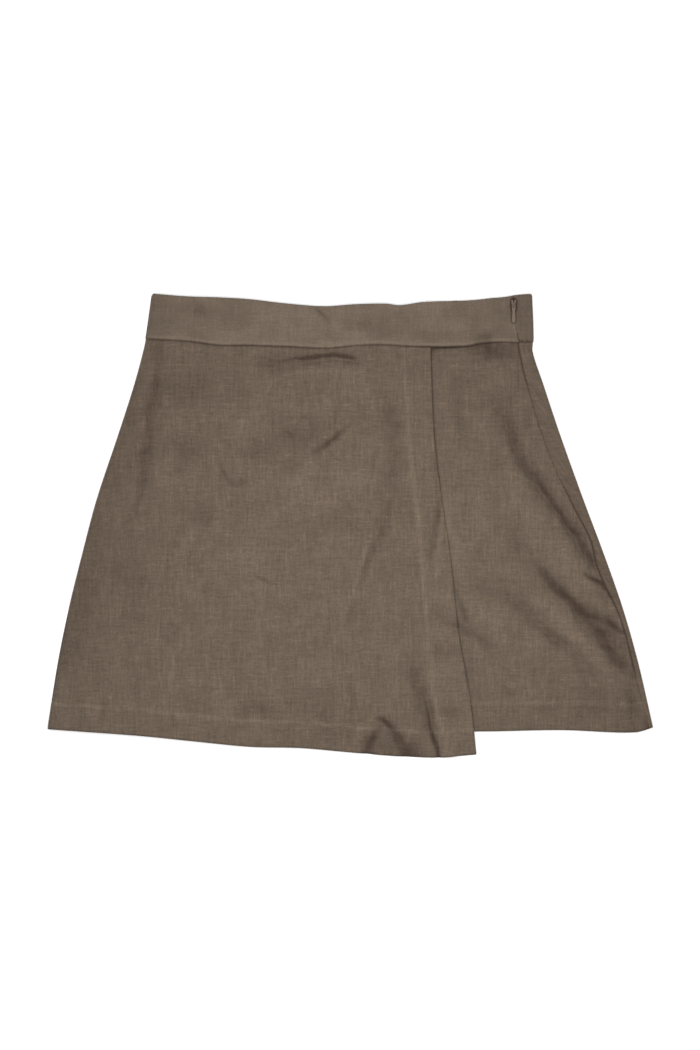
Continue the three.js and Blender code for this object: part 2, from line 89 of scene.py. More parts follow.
SEAM_INSET = {  # from the side's fold to the side seam
    "down": (46, 55, 80, 148, 197, 227, 255, 300, 347, 404),
    "inset": (13.2, 12, 14.6, 16, 11.4, 7.4, 10.4, 5, 5.2, 3.2),
}
ZIP = {
    "down": (0, 4.2, 6.4, 15.6, 19, 26, 40, 46),
    "x": (150.4, 150.4, 150.4, 150.4, 150.4, 150.6, 153.4, 155.2),
    "apart": (0.5, 0.6, 5, 5, 1.6, 0.5, 0.5, 0.5),
}
FACING_SEAM = {  # the line of stitches that holds the facing under the wrap panel's free edge
    "down": (52, 120.8, 160.7, 234.3, 295.3, 357, 420),
    "x": (49.3, 52.6, 57.2, 64.9, 69.5, 75.6, 83),
}
CENTRE = {"down": (50, 400), "x": (-10.5, 0.4)}
PARTING = {"from": 300, "to": 400, "spread": 12, "furthest": 1.1}  # where the legs part
WRAP_HEM_DEPTH = 23.5
LEG_HEM_DEPTH = 25.5
ZIP_TOP = 5
ZIP_LENGTH = 170
TAPE_WIDTH = 12
ROLL = 3  # radius of the soft roll at the wearer's right
HIDDEN_INSET = 4.8
BAND_PEEK = {"x": 97, "half": 9, "rise": 1.9}  # where the waistband's back peeps out above its front
BAND_BACK_LOW = {"by": 1.1, "until": 120, "over": 20}
BAND_CORNER = {"x": 165.2, "radius": 2.8}
BACK_PEEK = {"from": 285, "to": 385, "over": 25, "width": 1.3}  # where the back shows beside the wrap panel


# ---- Curves ----
def mix(a, b, share):
    return a + (b - a) * share


def ease(value):
    t = np.clip(value, 0, 1)
    return t * t * (3 - 2 * t)


def grows(distance, start, reach):
    """0 up to `start`, and 1 from `reach` beyond it."""
    return ease((distance - start) / reach)


def constant(value):
    """A function that gives the same value everywhere."""
    return lambda x, down=0: value + 0 * x


def line(distance, reach):
    """A soft line: 1 on it, and fading on both sides over its reach."""
    return np.exp(-((distance / reach) ** 2))


def through(table, source, target):
    """A smooth curve through a table: its column `target` as a function of its column `source`."""
    at = np.array(table[source], float)
    value = np.array(table[target], float)
    last = len(at) - 1
    after = np.minimum(np.arange(last + 1) + 1, last)
    before = np.maximum(np.arange(last + 1) - 1, 0)
    slope = (value[after] - value[before]) / (at[after] - at[before])

    def curve(x):
        x = np.asarray(x, float)
        k = np.clip(np.searchsorted(at, x, side="right") - 1, 0, last - 1)
        step = at[k + 1] - at[k]
        t = (x - at[k]) / step
        rise = value[k + 1] - value[k]
        start_bend = slope[k] * step - rise
        end_bend = rise - slope[k + 1] * step
        inside = value[k] + rise * t + t * (1 - t) * (start_bend * (1 - t) + end_bend * t)
        below = value[0] + slope[0] * (x - at[0])
        beyond = value[last] + slope[last] * (x - at[last])
        return np.where(t < 0, below, np.where(t > 1, beyond, inside))

    return curve


left_side = through(SIDES, "down", "left")
right_side = through(SIDES, "down", "right")
band_top_edge = through(WAIST, "x", "top")
waist_seam = through(WAIST, "x", "seam")
wrap_hem = through(WRAP_HEM, "x", "down")
leg_hem = through(LEG_HEM, "x", "down")
wrap_edge = through(WRAP_EDGE, "down", "x")
seam_inset = through(SEAM_INSET, "down", "inset")
zip_line = through(ZIP, "down", "x")
zip_apart = through(ZIP, "down", "apart")
facing_seam = through(FACING_SEAM, "down", "x")
middle = through(CENTRE, "down", "x")


def back_top_edge(x):
    peek = line(x - BAND_PEEK["x"], BAND_PEEK["half"])
    low = BAND_BACK_LOW["by"] * (1 - grows(x, BAND_BACK_LOW["until"], BAND_BACK_LOW["over"]))
    radius = BAND_CORNER["radius"]
    corner = radius - np.sqrt(radius**2 - np.clip(x - BAND_CORNER["x"], 0, radius) ** 2)
    return band_top_edge(x) + low + corner - BAND_PEEK["rise"] * peek


def wrap_side(down):
    start, end, over = BACK_PEEK["from"], BACK_PEEK["to"], BACK_PEEK["over"]
    return left_side(down) + BACK_PEEK["width"] * ease((down - start) / over) * ease((end - down) / over)


def side_seam(down):
    return right_side(down) - seam_inset(down)


def leg_parting(down):
    """Half the space between the legs."""
    share = (down - PARTING["from"]) / (PARTING["to"] - PARTING["from"])
    return GAP / 2 + PARTING["spread"] * np.clip(share, 0, PARTING["furthest"])


# ---- Creases ----
def crease(power, *path, lean=1.0, dark=1.0):
    """A crease through points (x, down, rise, half-width); its rise is below 0 in a trough.

    `power` sets its section, from 1, a sharp bend, to 2, a soft bell. `lean` makes the side to the left of its run, as
    seen from above, wider or steeper. `dark` makes the painted shade on its floor darker or paler than its depth alone
    would."""
    return {"power": power, "path": path, "lean": lean, "dark": dark}


LEG_CREASES = (
    # the long diagonal trough, sharp in the middle, and the ridges beside it
    crease(1.3, (136, 96, -0.4, 5), (140, 108, -1.8, 4.6), (147, 124, -3.2, 4.4), (152.5, 142, -3.6, 3.6),
           (160.5, 160, -4.4, 3.2), (170, 172.5, -5, 3), (179, 184.5, -5.2, 3), (188, 197.5, -5.6, 3),
           (197.5, 211.5, -5.4, 3), (207, 224, -4.4, 3), (213, 234, -1, 3), lean=2.5, dark=0.8),
    crease(1.3, (157, 161, -0.3, 1.6), (171.6, 173.9, -0.9, 1.7), (179.9, 183.1, -1.3, 1.7), (186.3, 191.4, -1.4, 1.7),
           (191.8, 204, -1.3, 1.7), (201, 215.3, -1.4, 1.7), (208.4, 224.5, -1, 1.8), (213.9, 238, -1.1, 1.8),
           (221.3, 246, -0.9, 1.8), (226, 255, -0.2, 1.6), dark=3.6),
    crease(1.4, (202, 218, -1, 3), (209, 226, -4.2, 4.4), (215, 234, -4.8, 5.8), (220, 243, -4.8, 5.8),
           (223.5, 250, -4.8, 4.6), (227, 257, -1.4, 2.2), lean=0.7, dark=0.9),
    crease(2, (130, 88, -0.2, 9), (139, 104, -1, 9), (152, 138, -1.4, 8), (172, 172, -1.5, 8), (196, 204, -1.5, 8),
           (222, 238, -1.2, 7), (236, 268, -0.5, 6)),
    crease(2, (128, 120, 0.2, 12), (148, 170, 0.9, 14), (172, 212, 1, 14), (196, 240, 1.4, 12), (216, 264, 1.5, 8),
           (230, 284, 0.6, 6)),
    crease(2, (163, 138, 0.4, 8), (178, 162, 1.2, 8), (194, 182, 1.6, 7.5), (209, 203, 1.6, 6.5), (220, 224, 1, 4.5),
           (229, 242, 0.4, 3)),
    crease(1.3, (214, 258, -0.6, 2.6), (222.6, 262, -3, 3), (229, 266, -4.4, 3.2), (234.5, 272, -4.6, 3),
           (239.7, 279.5, -3.6, 2.6), (245, 287.5, -2, 2), (249, 295, -0.8, 1.6), dark=1.2),
    # the shorter trough below it, which forks at the side
    crease(1.5, (160, 238, -0.6, 6), (167.5, 245, -1.6, 6), (179, 258.5, -3.2, 5), (184.5, 265.5, -4, 5.2),
           (190, 271, -4.8, 5.4), (196.5, 276.5, -5, 5.6), (203, 283.5, -5.4, 5.6), (209.5, 290.5, -6, 5.6),
           (216, 296, -6, 6.4), (223, 298, -5.4, 5.6), (231, 300.5, -5, 5.2), (240, 305.5, -4.8, 5),
           (249, 312, -2.8, 4), dark=0.9),
    crease(1.6, (214, 297, -3, 6), (221, 303, -4.8, 6.4), (226.5, 308, -4.8, 6.6), (231, 314.5, -4.4, 6.6),
           (236, 323, -3.8, 6.6), (243.6, 334.6, -3.4, 7), (252, 344, -2.8, 7), (261, 355, -1.8, 7),
           (264, 366, -0.8, 6)),
    crease(2, (222, 304, -1.6, 8), (232, 310, -2.4, 9), (241, 320, -2.2, 8), (248, 334, -1.2, 7), dark=1.1),
    crease(2, (160, 272, 0.3, 9), (188, 298, 1.6, 10), (214, 324, 2, 10), (240, 350, 0.8, 9)),
    crease(1.8, (118, 262, -0.3, 8), (132, 273, -1.2, 8), (152, 283.5, -2.2, 7), (163, 293, -2.6, 6.5),
           (172, 303, -2.8, 6), (183, 313.6, -2.9, 5.6), (192.5, 321.5, -2.9, 5.6), (201.6, 327, -2.7, 5.6),
           (210, 337, -2.2, 6.4), (217, 347, -1.4, 7), (232, 360, -0.6, 8), dark=0.6),
    crease(1.6, (94, 303, -1.6, 3.4), (104, 310, -1.8, 4), (116, 318, -1.6, 4), (134, 327, -0.5, 4)),
    crease(2, (98, 276, 0.2, 8), (110, 288, 1.2, 9), (122, 296, 0.2, 9)),
    crease(1.5, (134, 357, -0.4, 3.5), (144, 366, -1, 3.5), (154, 374, -0.4, 3.5)),
    # under the waistband
    crease(1.8, (104, 46, -0.6, 4), (114, 49.5, -1.8, 5), (126, 52.5, -2.2, 6.5), (139, 55, -2.6, 6),
           (149, 57, -0.8, 5)),
    crease(2, (96, 74, -0.5, 5), (100, 100, -1.1, 5), (101, 120, -1, 5), (104, 140, -0.3, 6)),
    crease(2, (108, 104, -0.2, 6), (124, 100, -0.8, 7), (140, 100, -1, 7)),
    crease(2, (124, 140, -0.3, 8), (131, 154, -0.8, 8), (136, 170, -0.3, 8)),
    crease(2, (143, 214, -0.3, 7), (152, 228, -1.1, 8), (164, 244, -0.5, 7)),
    crease(2, (246, 352, -0.8, 7), (257, 366, -1.6, 6), (262, 382, -2.4, 6), (262, 402, -2, 7), dark=0.6),
    crease(1.6, (273, 392, -1.6, 3), (274, 400, -2.4, 4), dark=1.2),
    crease(2, (86, 186, 0.3, 3), (89, 204, 2.4, 5), (94, 230, 2, 6), (98, 262, 0.3, 4)),
    crease(2, (108, 176, 0.3, 14), (120, 206, 0.7, 14), (132, 230, 0.2, 10)),
    crease(1.4, (96.5, 272, -0.8, 2.2), (103.5, 290, -1.8, 2.4), (109, 305, -1.4, 2.6), (115, 319, -0.4, 2.6)),
    crease(2, (96, 216, 0.2, 2.4), (101, 230, 1, 2.6), (109, 248, 0.2, 2.6)),
    crease(2, (92, 326, -0.5, 12), (98, 350, -1, 14), (100, 374, -0.6, 12)),
    crease(2, (112, 284, 0.3, 8), (124, 294, 1.5, 9), (140, 308, 1, 8), (152, 320, 0.3, 8)),
    crease(2, (190, 382, -0.5, 12), (220, 376, -1.2, 14), (244, 380, -0.6, 10)),
)
WRAP_CREASES = (
    # beside the side where the panel rolls over
    crease(1.7, (-174, 48, -1.6, 3.6), (-175.5, 60, -3.4, 3.6), (-177.5, 74, -4.2, 4), (-179.5, 92, -5.4, 5.4),
           (-183, 106, -3.8, 5.4), (-184.5, 120, -2.8, 4.6), (-186, 140, -3.6, 5), (-188.5, 160, -3.8, 5.6),
           (-192, 180, -3.4, 4.6), (-198, 200, -1.8, 4), (-206, 216, -0.8, 4), dark=0.5),
    crease(2, (-158, 62, 0.2, 9), (-162, 100, 0.5, 10), (-166, 150, 1, 10), (-176, 200, 0.3, 9)),
    crease(2, (-116, 118, 0.3, 12), (-98, 128, 1.2, 14), (-78, 118, 0.6, 12)),
    crease(2, (-64, 178, 0.4, 10), (-46, 182, 1.9, 13), (-28, 188, 0.9, 14), (4, 172, 1.5, 14)),
    crease(2, (-110, 226, 0.3, 14), (-90, 250, 1.2, 18), (-72, 282, 0.4, 14)),
    crease(2, (-54, 372, -0.3, 10), (-34, 386, -0.8, 13), (-18, 404, -0.8, 12)),
    crease(2, (-10, 80, 0.4, 10), (9, 82, 1.6, 12), (26, 84, 0.5, 10)),
    # the tuck under the waistband
    crease(1.3, (-84, 60.5, -0.4, 3.5), (-70, 63, -1.8, 3), (-58, 62.8, -2.6, 2.8), (-44, 61, -4, 2.6),
           (-26, 58.6, -5, 2.6), (-10, 58.6, -5.2, 2.6), (2, 60, -4, 2.6), (8, 61.5, -0.6, 2.6), lean=1.4),
    crease(2, (-86, 65, -0.4, 6), (-66, 67, -1.4, 7), (-44, 63, -1.6, 6), (-18, 60, -1, 6), (10, 61, -0.6, 5)),
    crease(2, (-74, 76, 0.3, 6), (-35, 72, 1.2, 5.5), (6, 71, 0.6, 5)),
    crease(1.4, (-37, 146.5, -0.8, 2.6), (-30, 145, -2.2, 3), (-20, 138.5, -2.4, 3), (-10, 130, -2, 2.8),
           (0, 122, -1.2, 2.4), (6, 118, -0.3, 2.4), dark=1.5),
    crease(2, (-74, 138, -0.5, 8), (-52, 134, -1.3, 9), (-34, 127, -1.3, 8), (-18, 118, -0.5, 7), dark=1.2),
    crease(1.5, (-64, 122, -0.5, 3.5), (-56, 130, -2, 3.5), (-50, 138, -0.6, 3.5), dark=1.3),
    crease(1.5, (-48, 120, -0.3, 3), (-41, 115, -1.4, 3.2), (-32, 117, -0.3, 3), dark=1.5),
    crease(2, (-44, 128, 0.3, 6), (-28, 124, 0.8, 6), (-14, 112, 0.2, 6)),
    crease(2, (-172, 138, -0.6, 9), (-150, 145, -1.3, 11), (-132, 142, -0.7, 11), (-104, 141, -0.5, 10),
           (-80, 144, -1.1, 10), (-54, 148, -0.6, 9)),
    crease(1.3, (-121, 154, -0.5, 2.4), (-117, 165, -1.3, 2.2), (-112, 173, -1.5, 2.2), (-104, 176.5, -2, 2.2),
           (-93, 172, -0.4, 2), dark=1.15),
    crease(1.4, (-88, 260, -0.4, 2.2), (-79, 264, -1.5, 2.2), (-70, 267, -0.4, 2.2), dark=1.5),
    crease(2, (-170, 198, -0.3, 8), (-142, 203, -0.9, 9), (-114, 204, -0.3, 8)),
    crease(2, (-40, 210, -0.2, 8), (-20, 212, -0.7, 8), (2, 208, -0.5, 7), (16, 202, -0.2, 7)),
    crease(2, (-188, 284, 0.3, 3), (-188, 292, 1.2, 3.5), (-187, 300, 0.3, 3)),
    crease(2, (-206, 236, -0.3, 12), (-198, 264, -1.3, 14), (-192, 292, -0.3, 12)),
    crease(2, (-180, 86, -0.4, 12), (-148, 88, -1.3, 13), (-108, 84, -0.4, 12)),
    crease(2, (-228, 226, -0.6, 10), (-237, 256, -1.5, 10), (-243, 284, -2, 9), (-247, 304, -0.8, 9), dark=0.3),
    crease(2, (-252, 316, -0.6, 8), (-256, 331, -1.6, 8), (-259, 350, -0.6, 8), dark=0.2),
    crease(2, (-104, 386, -0.4, 5), (-84, 383, -1.4, 6), (-62, 386, -0.4, 6)),
    crease(1.8, (-18, 362, -0.3, 3.5), (-15, 380, -1, 3.5), (-13, 396, -0.5, 3.5)),
    crease(1.8, (0, 348, -0.4, 3.5), (3, 372, -1.2, 3.5), (5, 398, -0.6, 4)),
    # beside the free edge
    crease(2, (32, 90, -0.4, 7), (37, 116, -1.4, 7), (40, 138, -1.1, 7), (40, 164, -1.2, 8), (36, 190, -0.6, 8)),
    crease(2, (20, 216, -0.4, 7), (34, 208, -1, 7), (46, 192, -0.4, 7)),
    crease(1.6, (42, 174, -0.6, 4), (33, 209, -1.3, 4), (21, 238, -1.5, 4), (14, 256, -1.3, 4), (7, 272, -0.4, 4)),
    crease(2, (21, 218, 0.3, 3), (11.5, 248, 1.3, 3.4), (2, 280, 1.1, 3.4), (-2, 296, 0.3, 3)),
    crease(1.4, (42, 256, -0.3, 2), (38, 264, -1.6, 2), (34, 271, -0.3, 2)),
    crease(2, (32, 264, 0.2, 2.4), (29, 272, 1.1, 2.4), (26, 281, 0.2, 2.4)),
    crease(2, (-7.5, 274, 0.3, 2.6), (-8.5, 296, 1.2, 2.6), (-8.5, 318, 0.3, 2.6)),
    crease(1.5, (1, 284, -0.3, 2.4), (-0.5, 298, -1.1, 2.4), (-2, 312, -0.3, 2.4)),
    crease(1.6, (77, 146, -0.3, 3), (79.5, 160, -1.2, 3), (82, 182, -1, 3)),
    crease(1.4, (82.5, 189, -1.2, 1.8), (80.5, 205, -2.4, 2), (77.7, 221, -2, 2.2), (75.5, 240, -1.2, 2.4),
           (75, 258, -0.3, 2.4)),
    crease(2, (84.5, 202, 0.4, 2.2), (83.5, 222, 1.6, 3), (82, 244, 1, 3.6), (82, 262, 0.2, 4)),
    crease(1.5, (78, 298, -0.4, 4), (88, 303, -1.4, 3.6), (98, 307, -2.2, 3.4)),
    crease(2, (76, 326, -0.3, 5), (88, 329, -1.1, 5), (100, 331, -0.6, 5)),
    crease(2, (82, 386, -0.3, 5), (92, 388, -1, 5), (100, 384, -0.3, 5)),
    # the folds that reach the hem
    crease(2, (54, 330, -0.5, 6), (60, 352, -1.4, 6), (66, 374, -1.8, 6), (73, 400, -1.8, 6)),
    crease(1.2, (58, 346, -0.2, 2.6), (64, 362, -1.4, 2.6), (69.5, 380, -2.8, 2.6), (73, 395, -3.6, 2.6),
           (77, 409, -4.2, 2.8), (82, 427, -4.2, 3), (86, 440, -4.2, 3), dark=1.3),
    crease(2, (72, 350, 0.4, 6), (80, 380, 1.4, 6), (88, 408, 1.8, 6), (94, 436, 1.8, 6)),
    crease(1.4, (23, 391.5, -1.2, 2.6), (28, 392.5, -4.2, 3), (33, 395, -5.4, 3.2), (36.5, 399.5, -5, 3),
           (40, 405, -3.6, 3.4), (45, 411, -2.2, 3.6)),
    crease(1.6, (32, 396, -1.6, 3), (28.5, 401, -2.6, 4), (24.5, 407, -3.2, 5), (21, 412, -3.8, 5.8),
           (18.5, 419, -3.6, 6), (14, 430, -3.4, 6)),
    crease(2, (38, 402, -1.6, 4), (45, 411, -3.2, 6), (53, 421, -4, 8), (60, 432, -3, 9)),
    crease(2, (33, 400, -0.8, 6), (33, 412, -1.6, 11), (34, 434, -1.4, 14)),
)
BAND_CREASES = (
    crease(1.4, (-32, 12, -0.6, 2.4), (-27, 19, -2, 2.4), (-20, 27, -0.6, 2.4)),
    crease(1.7, (112, 46, -0.3, 4), (121, 43, -2, 4), (131, 38, -1.4, 4), (138, 32, -0.3, 4)),
    crease(2, (-165, 12, -0.4, 4), (-140, 16, -1, 5), (-110, 20, -0.4, 5)),
    crease(2, (-6, 30, -0.4, 9), (22, 34, -1.4, 10), (54, 32, -1, 10), (90, 30, -0.4, 9)),
    crease(2, (96, 18, -0.3, 5), (116, 22, -0.8, 6), (134, 17, -0.3, 5)),
)
BACK_CREASES = (
    # drawn from the hips to the seat
    crease(1.5, (-168, 92, -0.6, 5), (-146, 108, -2.6, 4.6), (-118, 126, -4.2, 4), (-92, 150, -4.6, 3.8),
           (-66, 180, -3.2, 4), (-48, 208, -0.8, 5), lean=1.6),
    crease(1.4, (152, 84, -0.6, 4.5), (134, 104, -3, 4.2), (118, 130, -4.8, 3.8), (104, 158, -5, 3.8),
           (90, 184, -3.4, 4), (70, 210, -0.8, 4.5), lean=0.7),
    crease(1.7, (-214, 226, -0.6, 6), (-190, 246, -2.6, 5.4), (-160, 262, -3.8, 5), (-128, 284, -2.8, 5),
           (-104, 306, -0.6, 6)),
    crease(1.5, (206, 190, -0.6, 5), (186, 216, -3, 4.6), (168, 244, -4.4, 4.4), (146, 272, -3.4, 4.6),
           (124, 292, -0.6, 5)),
    crease(2, (-150, 128, 0.3, 12), (-118, 146, 1.4, 12), (-84, 176, 1.8, 12), (-56, 214, 0.4, 12)),
    crease(2, (150, 110, 0.3, 10), (132, 140, 1.6, 11), (112, 172, 1.6, 11), (86, 210, 0.3, 11)),
    crease(2, (-60, 96, -0.4, 10), (-20, 112, -1.6, 12), (24, 110, -1.6, 12), (58, 94, -0.4, 10)),
    crease(1.6, (-40, 222, -0.4, 5), (-18, 240, -2.4, 5), (-2, 268, -3, 4.6), (2, 296, -1, 4)),
    crease(1.6, (44, 226, -0.4, 5), (26, 244, -2, 4.6), (10, 268, -2.6, 4.2), (2, 292, -0.6, 4)),
    # under the waistband
    crease(1.3, (20, 60, -0.4, 3), (38, 62, -2.8, 2.8), (62, 60, -4.2, 2.6), (84, 62, -2.4, 3), (94, 64, -0.4, 3),
           lean=1.6),
    crease(1.4, (-112, 58, -0.4, 3), (-96, 61, -2.8, 3), (-80, 60, -2, 3), (-70, 58, -0.3, 3)),
    crease(2, (-30, 70, 0.3, 8), (-2, 78, 1.4, 9), (24, 72, 0.3, 8)),
    # down to the hems
    crease(1.5, (-186, 340, -0.4, 4), (-190, 362, -2.6, 4), (-196, 384, -3.6, 4.4), (-200, 402, -3, 5)),
    crease(1.6, (-72, 336, -0.4, 5), (-80, 362, -2.2, 5), (-90, 388, -3, 5.4), (-94, 404, -2.4, 6)),
    crease(1.5, (84, 330, -0.4, 4), (92, 356, -2.6, 4.2), (98, 382, -3.6, 4.4), (100, 402, -3, 5)),
    crease(2, (196, 320, -0.4, 7), (206, 350, -1.8, 8), (212, 380, -1.8, 9), (214, 404, -1, 9)),
    crease(2, (-134, 320, 0.3, 10), (-142, 356, 1.6, 12), (-148, 396, 1.2, 12)),
    crease(2, (140, 330, 0.3, 10), (150, 362, 1.6, 12), (156, 398, 1.2, 12)),
)
WANDER = {9: 1.0, 3: 0.4}  # sizes of the bends by which a crease wanders from its points, and how far it does
WANDER_SEEDS = (61, 67)
PATCHY = 0.3  # how much deeper or shallower it is from place to place
BEND_STEPS = 6  # straight pieces between two points of a crease
FELT_REACH = 3  # half-widths over which a crease is felt
# The painted shade on trough floors and the painted highlight on ridges, which crease_tone gives:
DARKEST_DEPTH = 5.5  # a trough this deep is the darkest
DARK_SPREAD = 0.6  # how wide a sharp bend's dark floor is, in half-widths; a soft one's is up to twice as wide
RIDGE_HIGHLIGHT = 0.08  # how much paler each millimetre makes a ridge


def bent_path(points):
    """A crease's points with soft bends between them (Catmull-Rom)."""
    points = np.array(points, float)
    ends = np.vstack([2 * points[0] - points[1], points, 2 * points[-1] - points[-2]])
    t = np.arange(BEND_STEPS)[:, None] / BEND_STEPS
    runs = []
    for a, b, c, d in zip(ends[:-3], ends[1:-2], ends[2:-1], ends[3:]):
        runs.append(b + t * (c - a) / 2 + t**2 * (a - 2.5 * b + 2 * c - d / 2) + t**3 * (1.5 * (b - c) + (d - a) / 2))
    return np.vstack([*runs, points[-1:]])


def felt(fold, x, down):
    """Where a crease is felt and, at those places, how many half-widths away it is and its rise."""
    path = bent_path(fold["path"])
    reach = FELT_REACH * path[:, 3].max()
    near = (x > path[:, 0].min() - reach) & (x < path[:, 0].max() + reach)
    near &= (down > path[:, 1].min() - reach) & (down < path[:, 1].max() + reach)
    px, pd = x[near], down[near]
    for size, sway in WANDER.items():
        noise = [soft_noise(x[near], down[near], size, size, seed + size) for seed in WANDER_SEEDS]
        px, pd = px + sway * noise[0], pd + sway * noise[1]
    nearest = np.full(px.shape, np.inf)
    rise = np.zeros_like(px)
    width = np.ones_like(px)
    on_left = np.zeros(px.shape, bool)
    for a, b in zip(path[:-1], path[1:]):
        run = b[:2] - a[:2]
        share = np.clip(((px - a[0]) * run[0] + (pd - a[1]) * run[1]) / (run @ run), 0, 1)
        dx, dd = px - mix(a[0], b[0], share), pd - mix(a[1], b[1], share)
        away = np.hypot(dx, dd)
        better = away < nearest
        nearest = np.where(better, away, nearest)
        rise = np.where(better, mix(a[2], b[2], share), rise)
        width = np.where(better, mix(a[3], b[3], share), width)
        on_left = np.where(better, run[0] * dd < run[1] * dx, on_left)
    rise = rise * (1 + PATCHY * soft_noise(px, pd, 7, 7, seed=73))
    return near, nearest / (width * np.where(on_left, fold["lean"], 1)), rise


def crease_rise(creases, x, down):
    """Height that creases add at each point of a grid."""
    total = np.zeros_like(x)
    for fold in creases:
        near, away, rise = felt(fold, x, down)
        total[near] += rise * np.exp(-(away ** fold["power"]))
    return total


def crease_tone(creases, x, down):
    """Tone that creases give the cloth: painted shade along the floor of each trough, a little painted highlight on
    each ridge.
    """
    dark, pale = np.zeros_like(x), np.zeros_like(x)
    for fold in creases:
        near, away, rise = felt(fold, x, down)
        depth = np.clip(-rise / DARKEST_DEPTH, 0, 1) * fold["dark"]
        floor = np.exp(-((away / (DARK_SPREAD * fold["power"])) ** 2.2))
        dark[near] = np.maximum(dark[near], depth * floor)
        pale[near] += np.clip(rise, 0, None) * RIDGE_HIGHLIGHT * np.exp(-(away**2))
    return pale - dark


def soft_noise(x, down, wide, long, seed):
    """Smooth seeded noise from -1 to 1, whose lumps are `wide` across and `long` down."""
    size = 64
    lattice = np.random.default_rng(seed).uniform(-1, 1, (size, size))
    u, v = x / wide + 31.7, down / long + 17.3
    i, j = np.floor(u).astype(int), np.floor(v).astype(int)
    s, t = ease(u - i), ease(v - j)
    upper, lower = (mix(lattice[i % size, k % size], lattice[(i + 1) % size, k % size], s) for k in (j, j + 1))
    return mix(upper, lower, t)


def ripple(place, size, seed):
    """Smooth seeded noise along a line."""
    return soft_noise(place, 0 * place, size, 1, seed)


def crumple(x, down, seed):
    """The low, uneven relief of pressed linen."""
    broad = 0.42 * soft_noise(x, down, 46, 60, seed)
    medium = 0.22 * soft_noise(x + 0.3 * down, down - 0.2 * x, 19, 27, seed + 1)
    small = 0.07 * soft_noise(x, down, 6, 15, seed + 2)
    fine = 0.035 * soft_noise(x, down, 2.9, 8, seed + 3)
    return broad + medium + small + fine


# ---- Height of each outer face ----
LEG_LOFT = 1.1
WRAP_LOFT = 1.7
LOFT_WIDTH = 36  # over which a panel rises from its held edges
LEG_DROOP = {"depth": 1, "length": 30, "width": 30}
WRAP_DROOP = 0.75  # share of the legs' droop that the wrap panel follows
OVERHANG = {"depth": 2.2, "length": 22}  # of the wrap panel, below the legs' hem
SEEDS = {"leg": 11, "wrap": 23, "band": 37, "flap": 53, "back": 59}
PRESSED = 0.14  # share of its depth that a crease keeps under the garment's weight
DEEPEST_BACK = 0.6


def droop(x, down):
    to_hem = ease((down - leg_hem(x)) / LEG_DROOP["length"] + 1)
    return LEG_DROOP["depth"] * to_hem * ease((side_seam(down) - x) / LEG_DROOP["width"])


def doubled(distance):
    """Rise of the cloth where it lies double: a stitched-down pinch, then the full step."""
    return DOUBLED * grows(distance, -1.2, 2.4) + PINCH * line(distance, 1.9)


def tucked(below_seam):
    """Drop of a panel's upper edge, under the waistband."""
    return TUCK_DROP * (1 - grows(below_seam, 0.2, 2.4))


def seam_pucker(distance, along_seam, seed):
    """Short ripples that the sewing draws in across a seam."""
    waves = ripple(along_seam, 7, seed) + 0.6 * ripple(along_seam, 3.1, seed + 1)
    return PUCKER * waves * np.exp(-distance / 9) * ease(distance / 1.5)


def covered_face(x, down):
    return LEG_TOP - droop(x, down) - tucked(down - waist_seam(x))


def leg_face(x, down):
    below = down - waist_seam(x)
    to_seam = side_seam(down) - x
    from_edge = x - wrap_edge(down)
    free = grows(from_edge, 3, 18) * grows(to_seam, 1, 14)
    loft = free * (LEG_LOFT * ease(below / LOFT_WIDTH) + crumple(x, down, SEEDS["leg"]))
    creased = grows(to_seam, 0.5, 9) * grows(from_edge, -4, 8) * ease(below / 7)
    relief = loft + creased * crease_rise(LEG_CREASES, x, down)
    hem = doubled(LEG_HEM_DEPTH - (leg_hem(x) - down))
    dip = SEAM_DIP * (1 - ease(to_seam / SEAM_REACH))
    sewn = seam_pucker(to_seam, down, seed=71) + seam_pucker(below, x, seed=73) - dip
    shown = grows(from_edge, -2, 4)
    return np.maximum(covered_face(x, down) + relief + shown * (hem + sewn), LINEN + GAP + CLOTH)


def wrap_face(x, down):
    below = down - waist_seam(x)
    from_left = x - left_side(down)
    past_hem = down - leg_hem(x)
    from_sides = grows(from_left, 4, LOFT_WIDTH) * ease((wrap_edge(down) - x) / LOFT_WIDTH)
    loft = WRAP_LOFT * from_sides * grows(below, -4, LOFT_WIDTH)
    held = grows(from_left, 3, 6) * ease(below / 6)
    relief = loft + held * (crease_rise(WRAP_CREASES, x, down) + crumple(x, down, SEEDS["wrap"]))
    sunk = WRAP_DROOP * droop(x, down) + OVERHANG["depth"] * grows(past_hem, 1, OVERHANG["length"])
    layers = np.maximum(doubled(WRAP_HEM_DEPTH - (wrap_hem(x) - down)), doubled(x - facing_seam(down)))
    sewn = seam_pucker(below, x, seed=79) - tucked(below)
    floor = CLOTH + LEG_TOP - droop(x, down) - np.clip(past_hem, 0, 3)
    return np.maximum(WRAP_TOP + relief - sunk + layers + sewn, floor)


def band_face(x, down):
    over_wrap = 1 - grows(x, 74, 56)
    waves = BAND_WAVE * (1 + np.sin(x / 23)) * grows(x, -175, 40) * ease((130 - x) / 40)
    share = (down - band_top_edge(x)) / (waist_seam(x) - band_top_edge(x))
    crown = BAND_CROWN * np.sin(np.pi * np.clip(share, 0, 1))
    calm = grows(zip_line(down) - x, 5, 12)
    relief = crease_rise(BAND_CREASES, x, down) + 0.6 * crumple(x, down, SEEDS["band"])
    return BAND_TOP + BAND_STEP * over_wrap + waves + calm * (crown + relief)


def drawn_in(x, down):
    """How far the back is drawn in where it goes up inside the waistband."""
    return tucked(down - waist_seam(x)) / 3


def back_face(x, down):
    """The table presses the back flat, so that its creases rise only a little from it."""
    inside = grows(x - left_side(down), 2, 10) * grows(right_side(down) - x, 6, 10)
    relief = crumple(x, down, SEEDS["back"]) + crease_rise(BACK_CREASES, x, down)
    return CLOTH + inside * np.clip(-PRESSED * relief, 0, DEEPEST_BACK) + drawn_in(x, down)


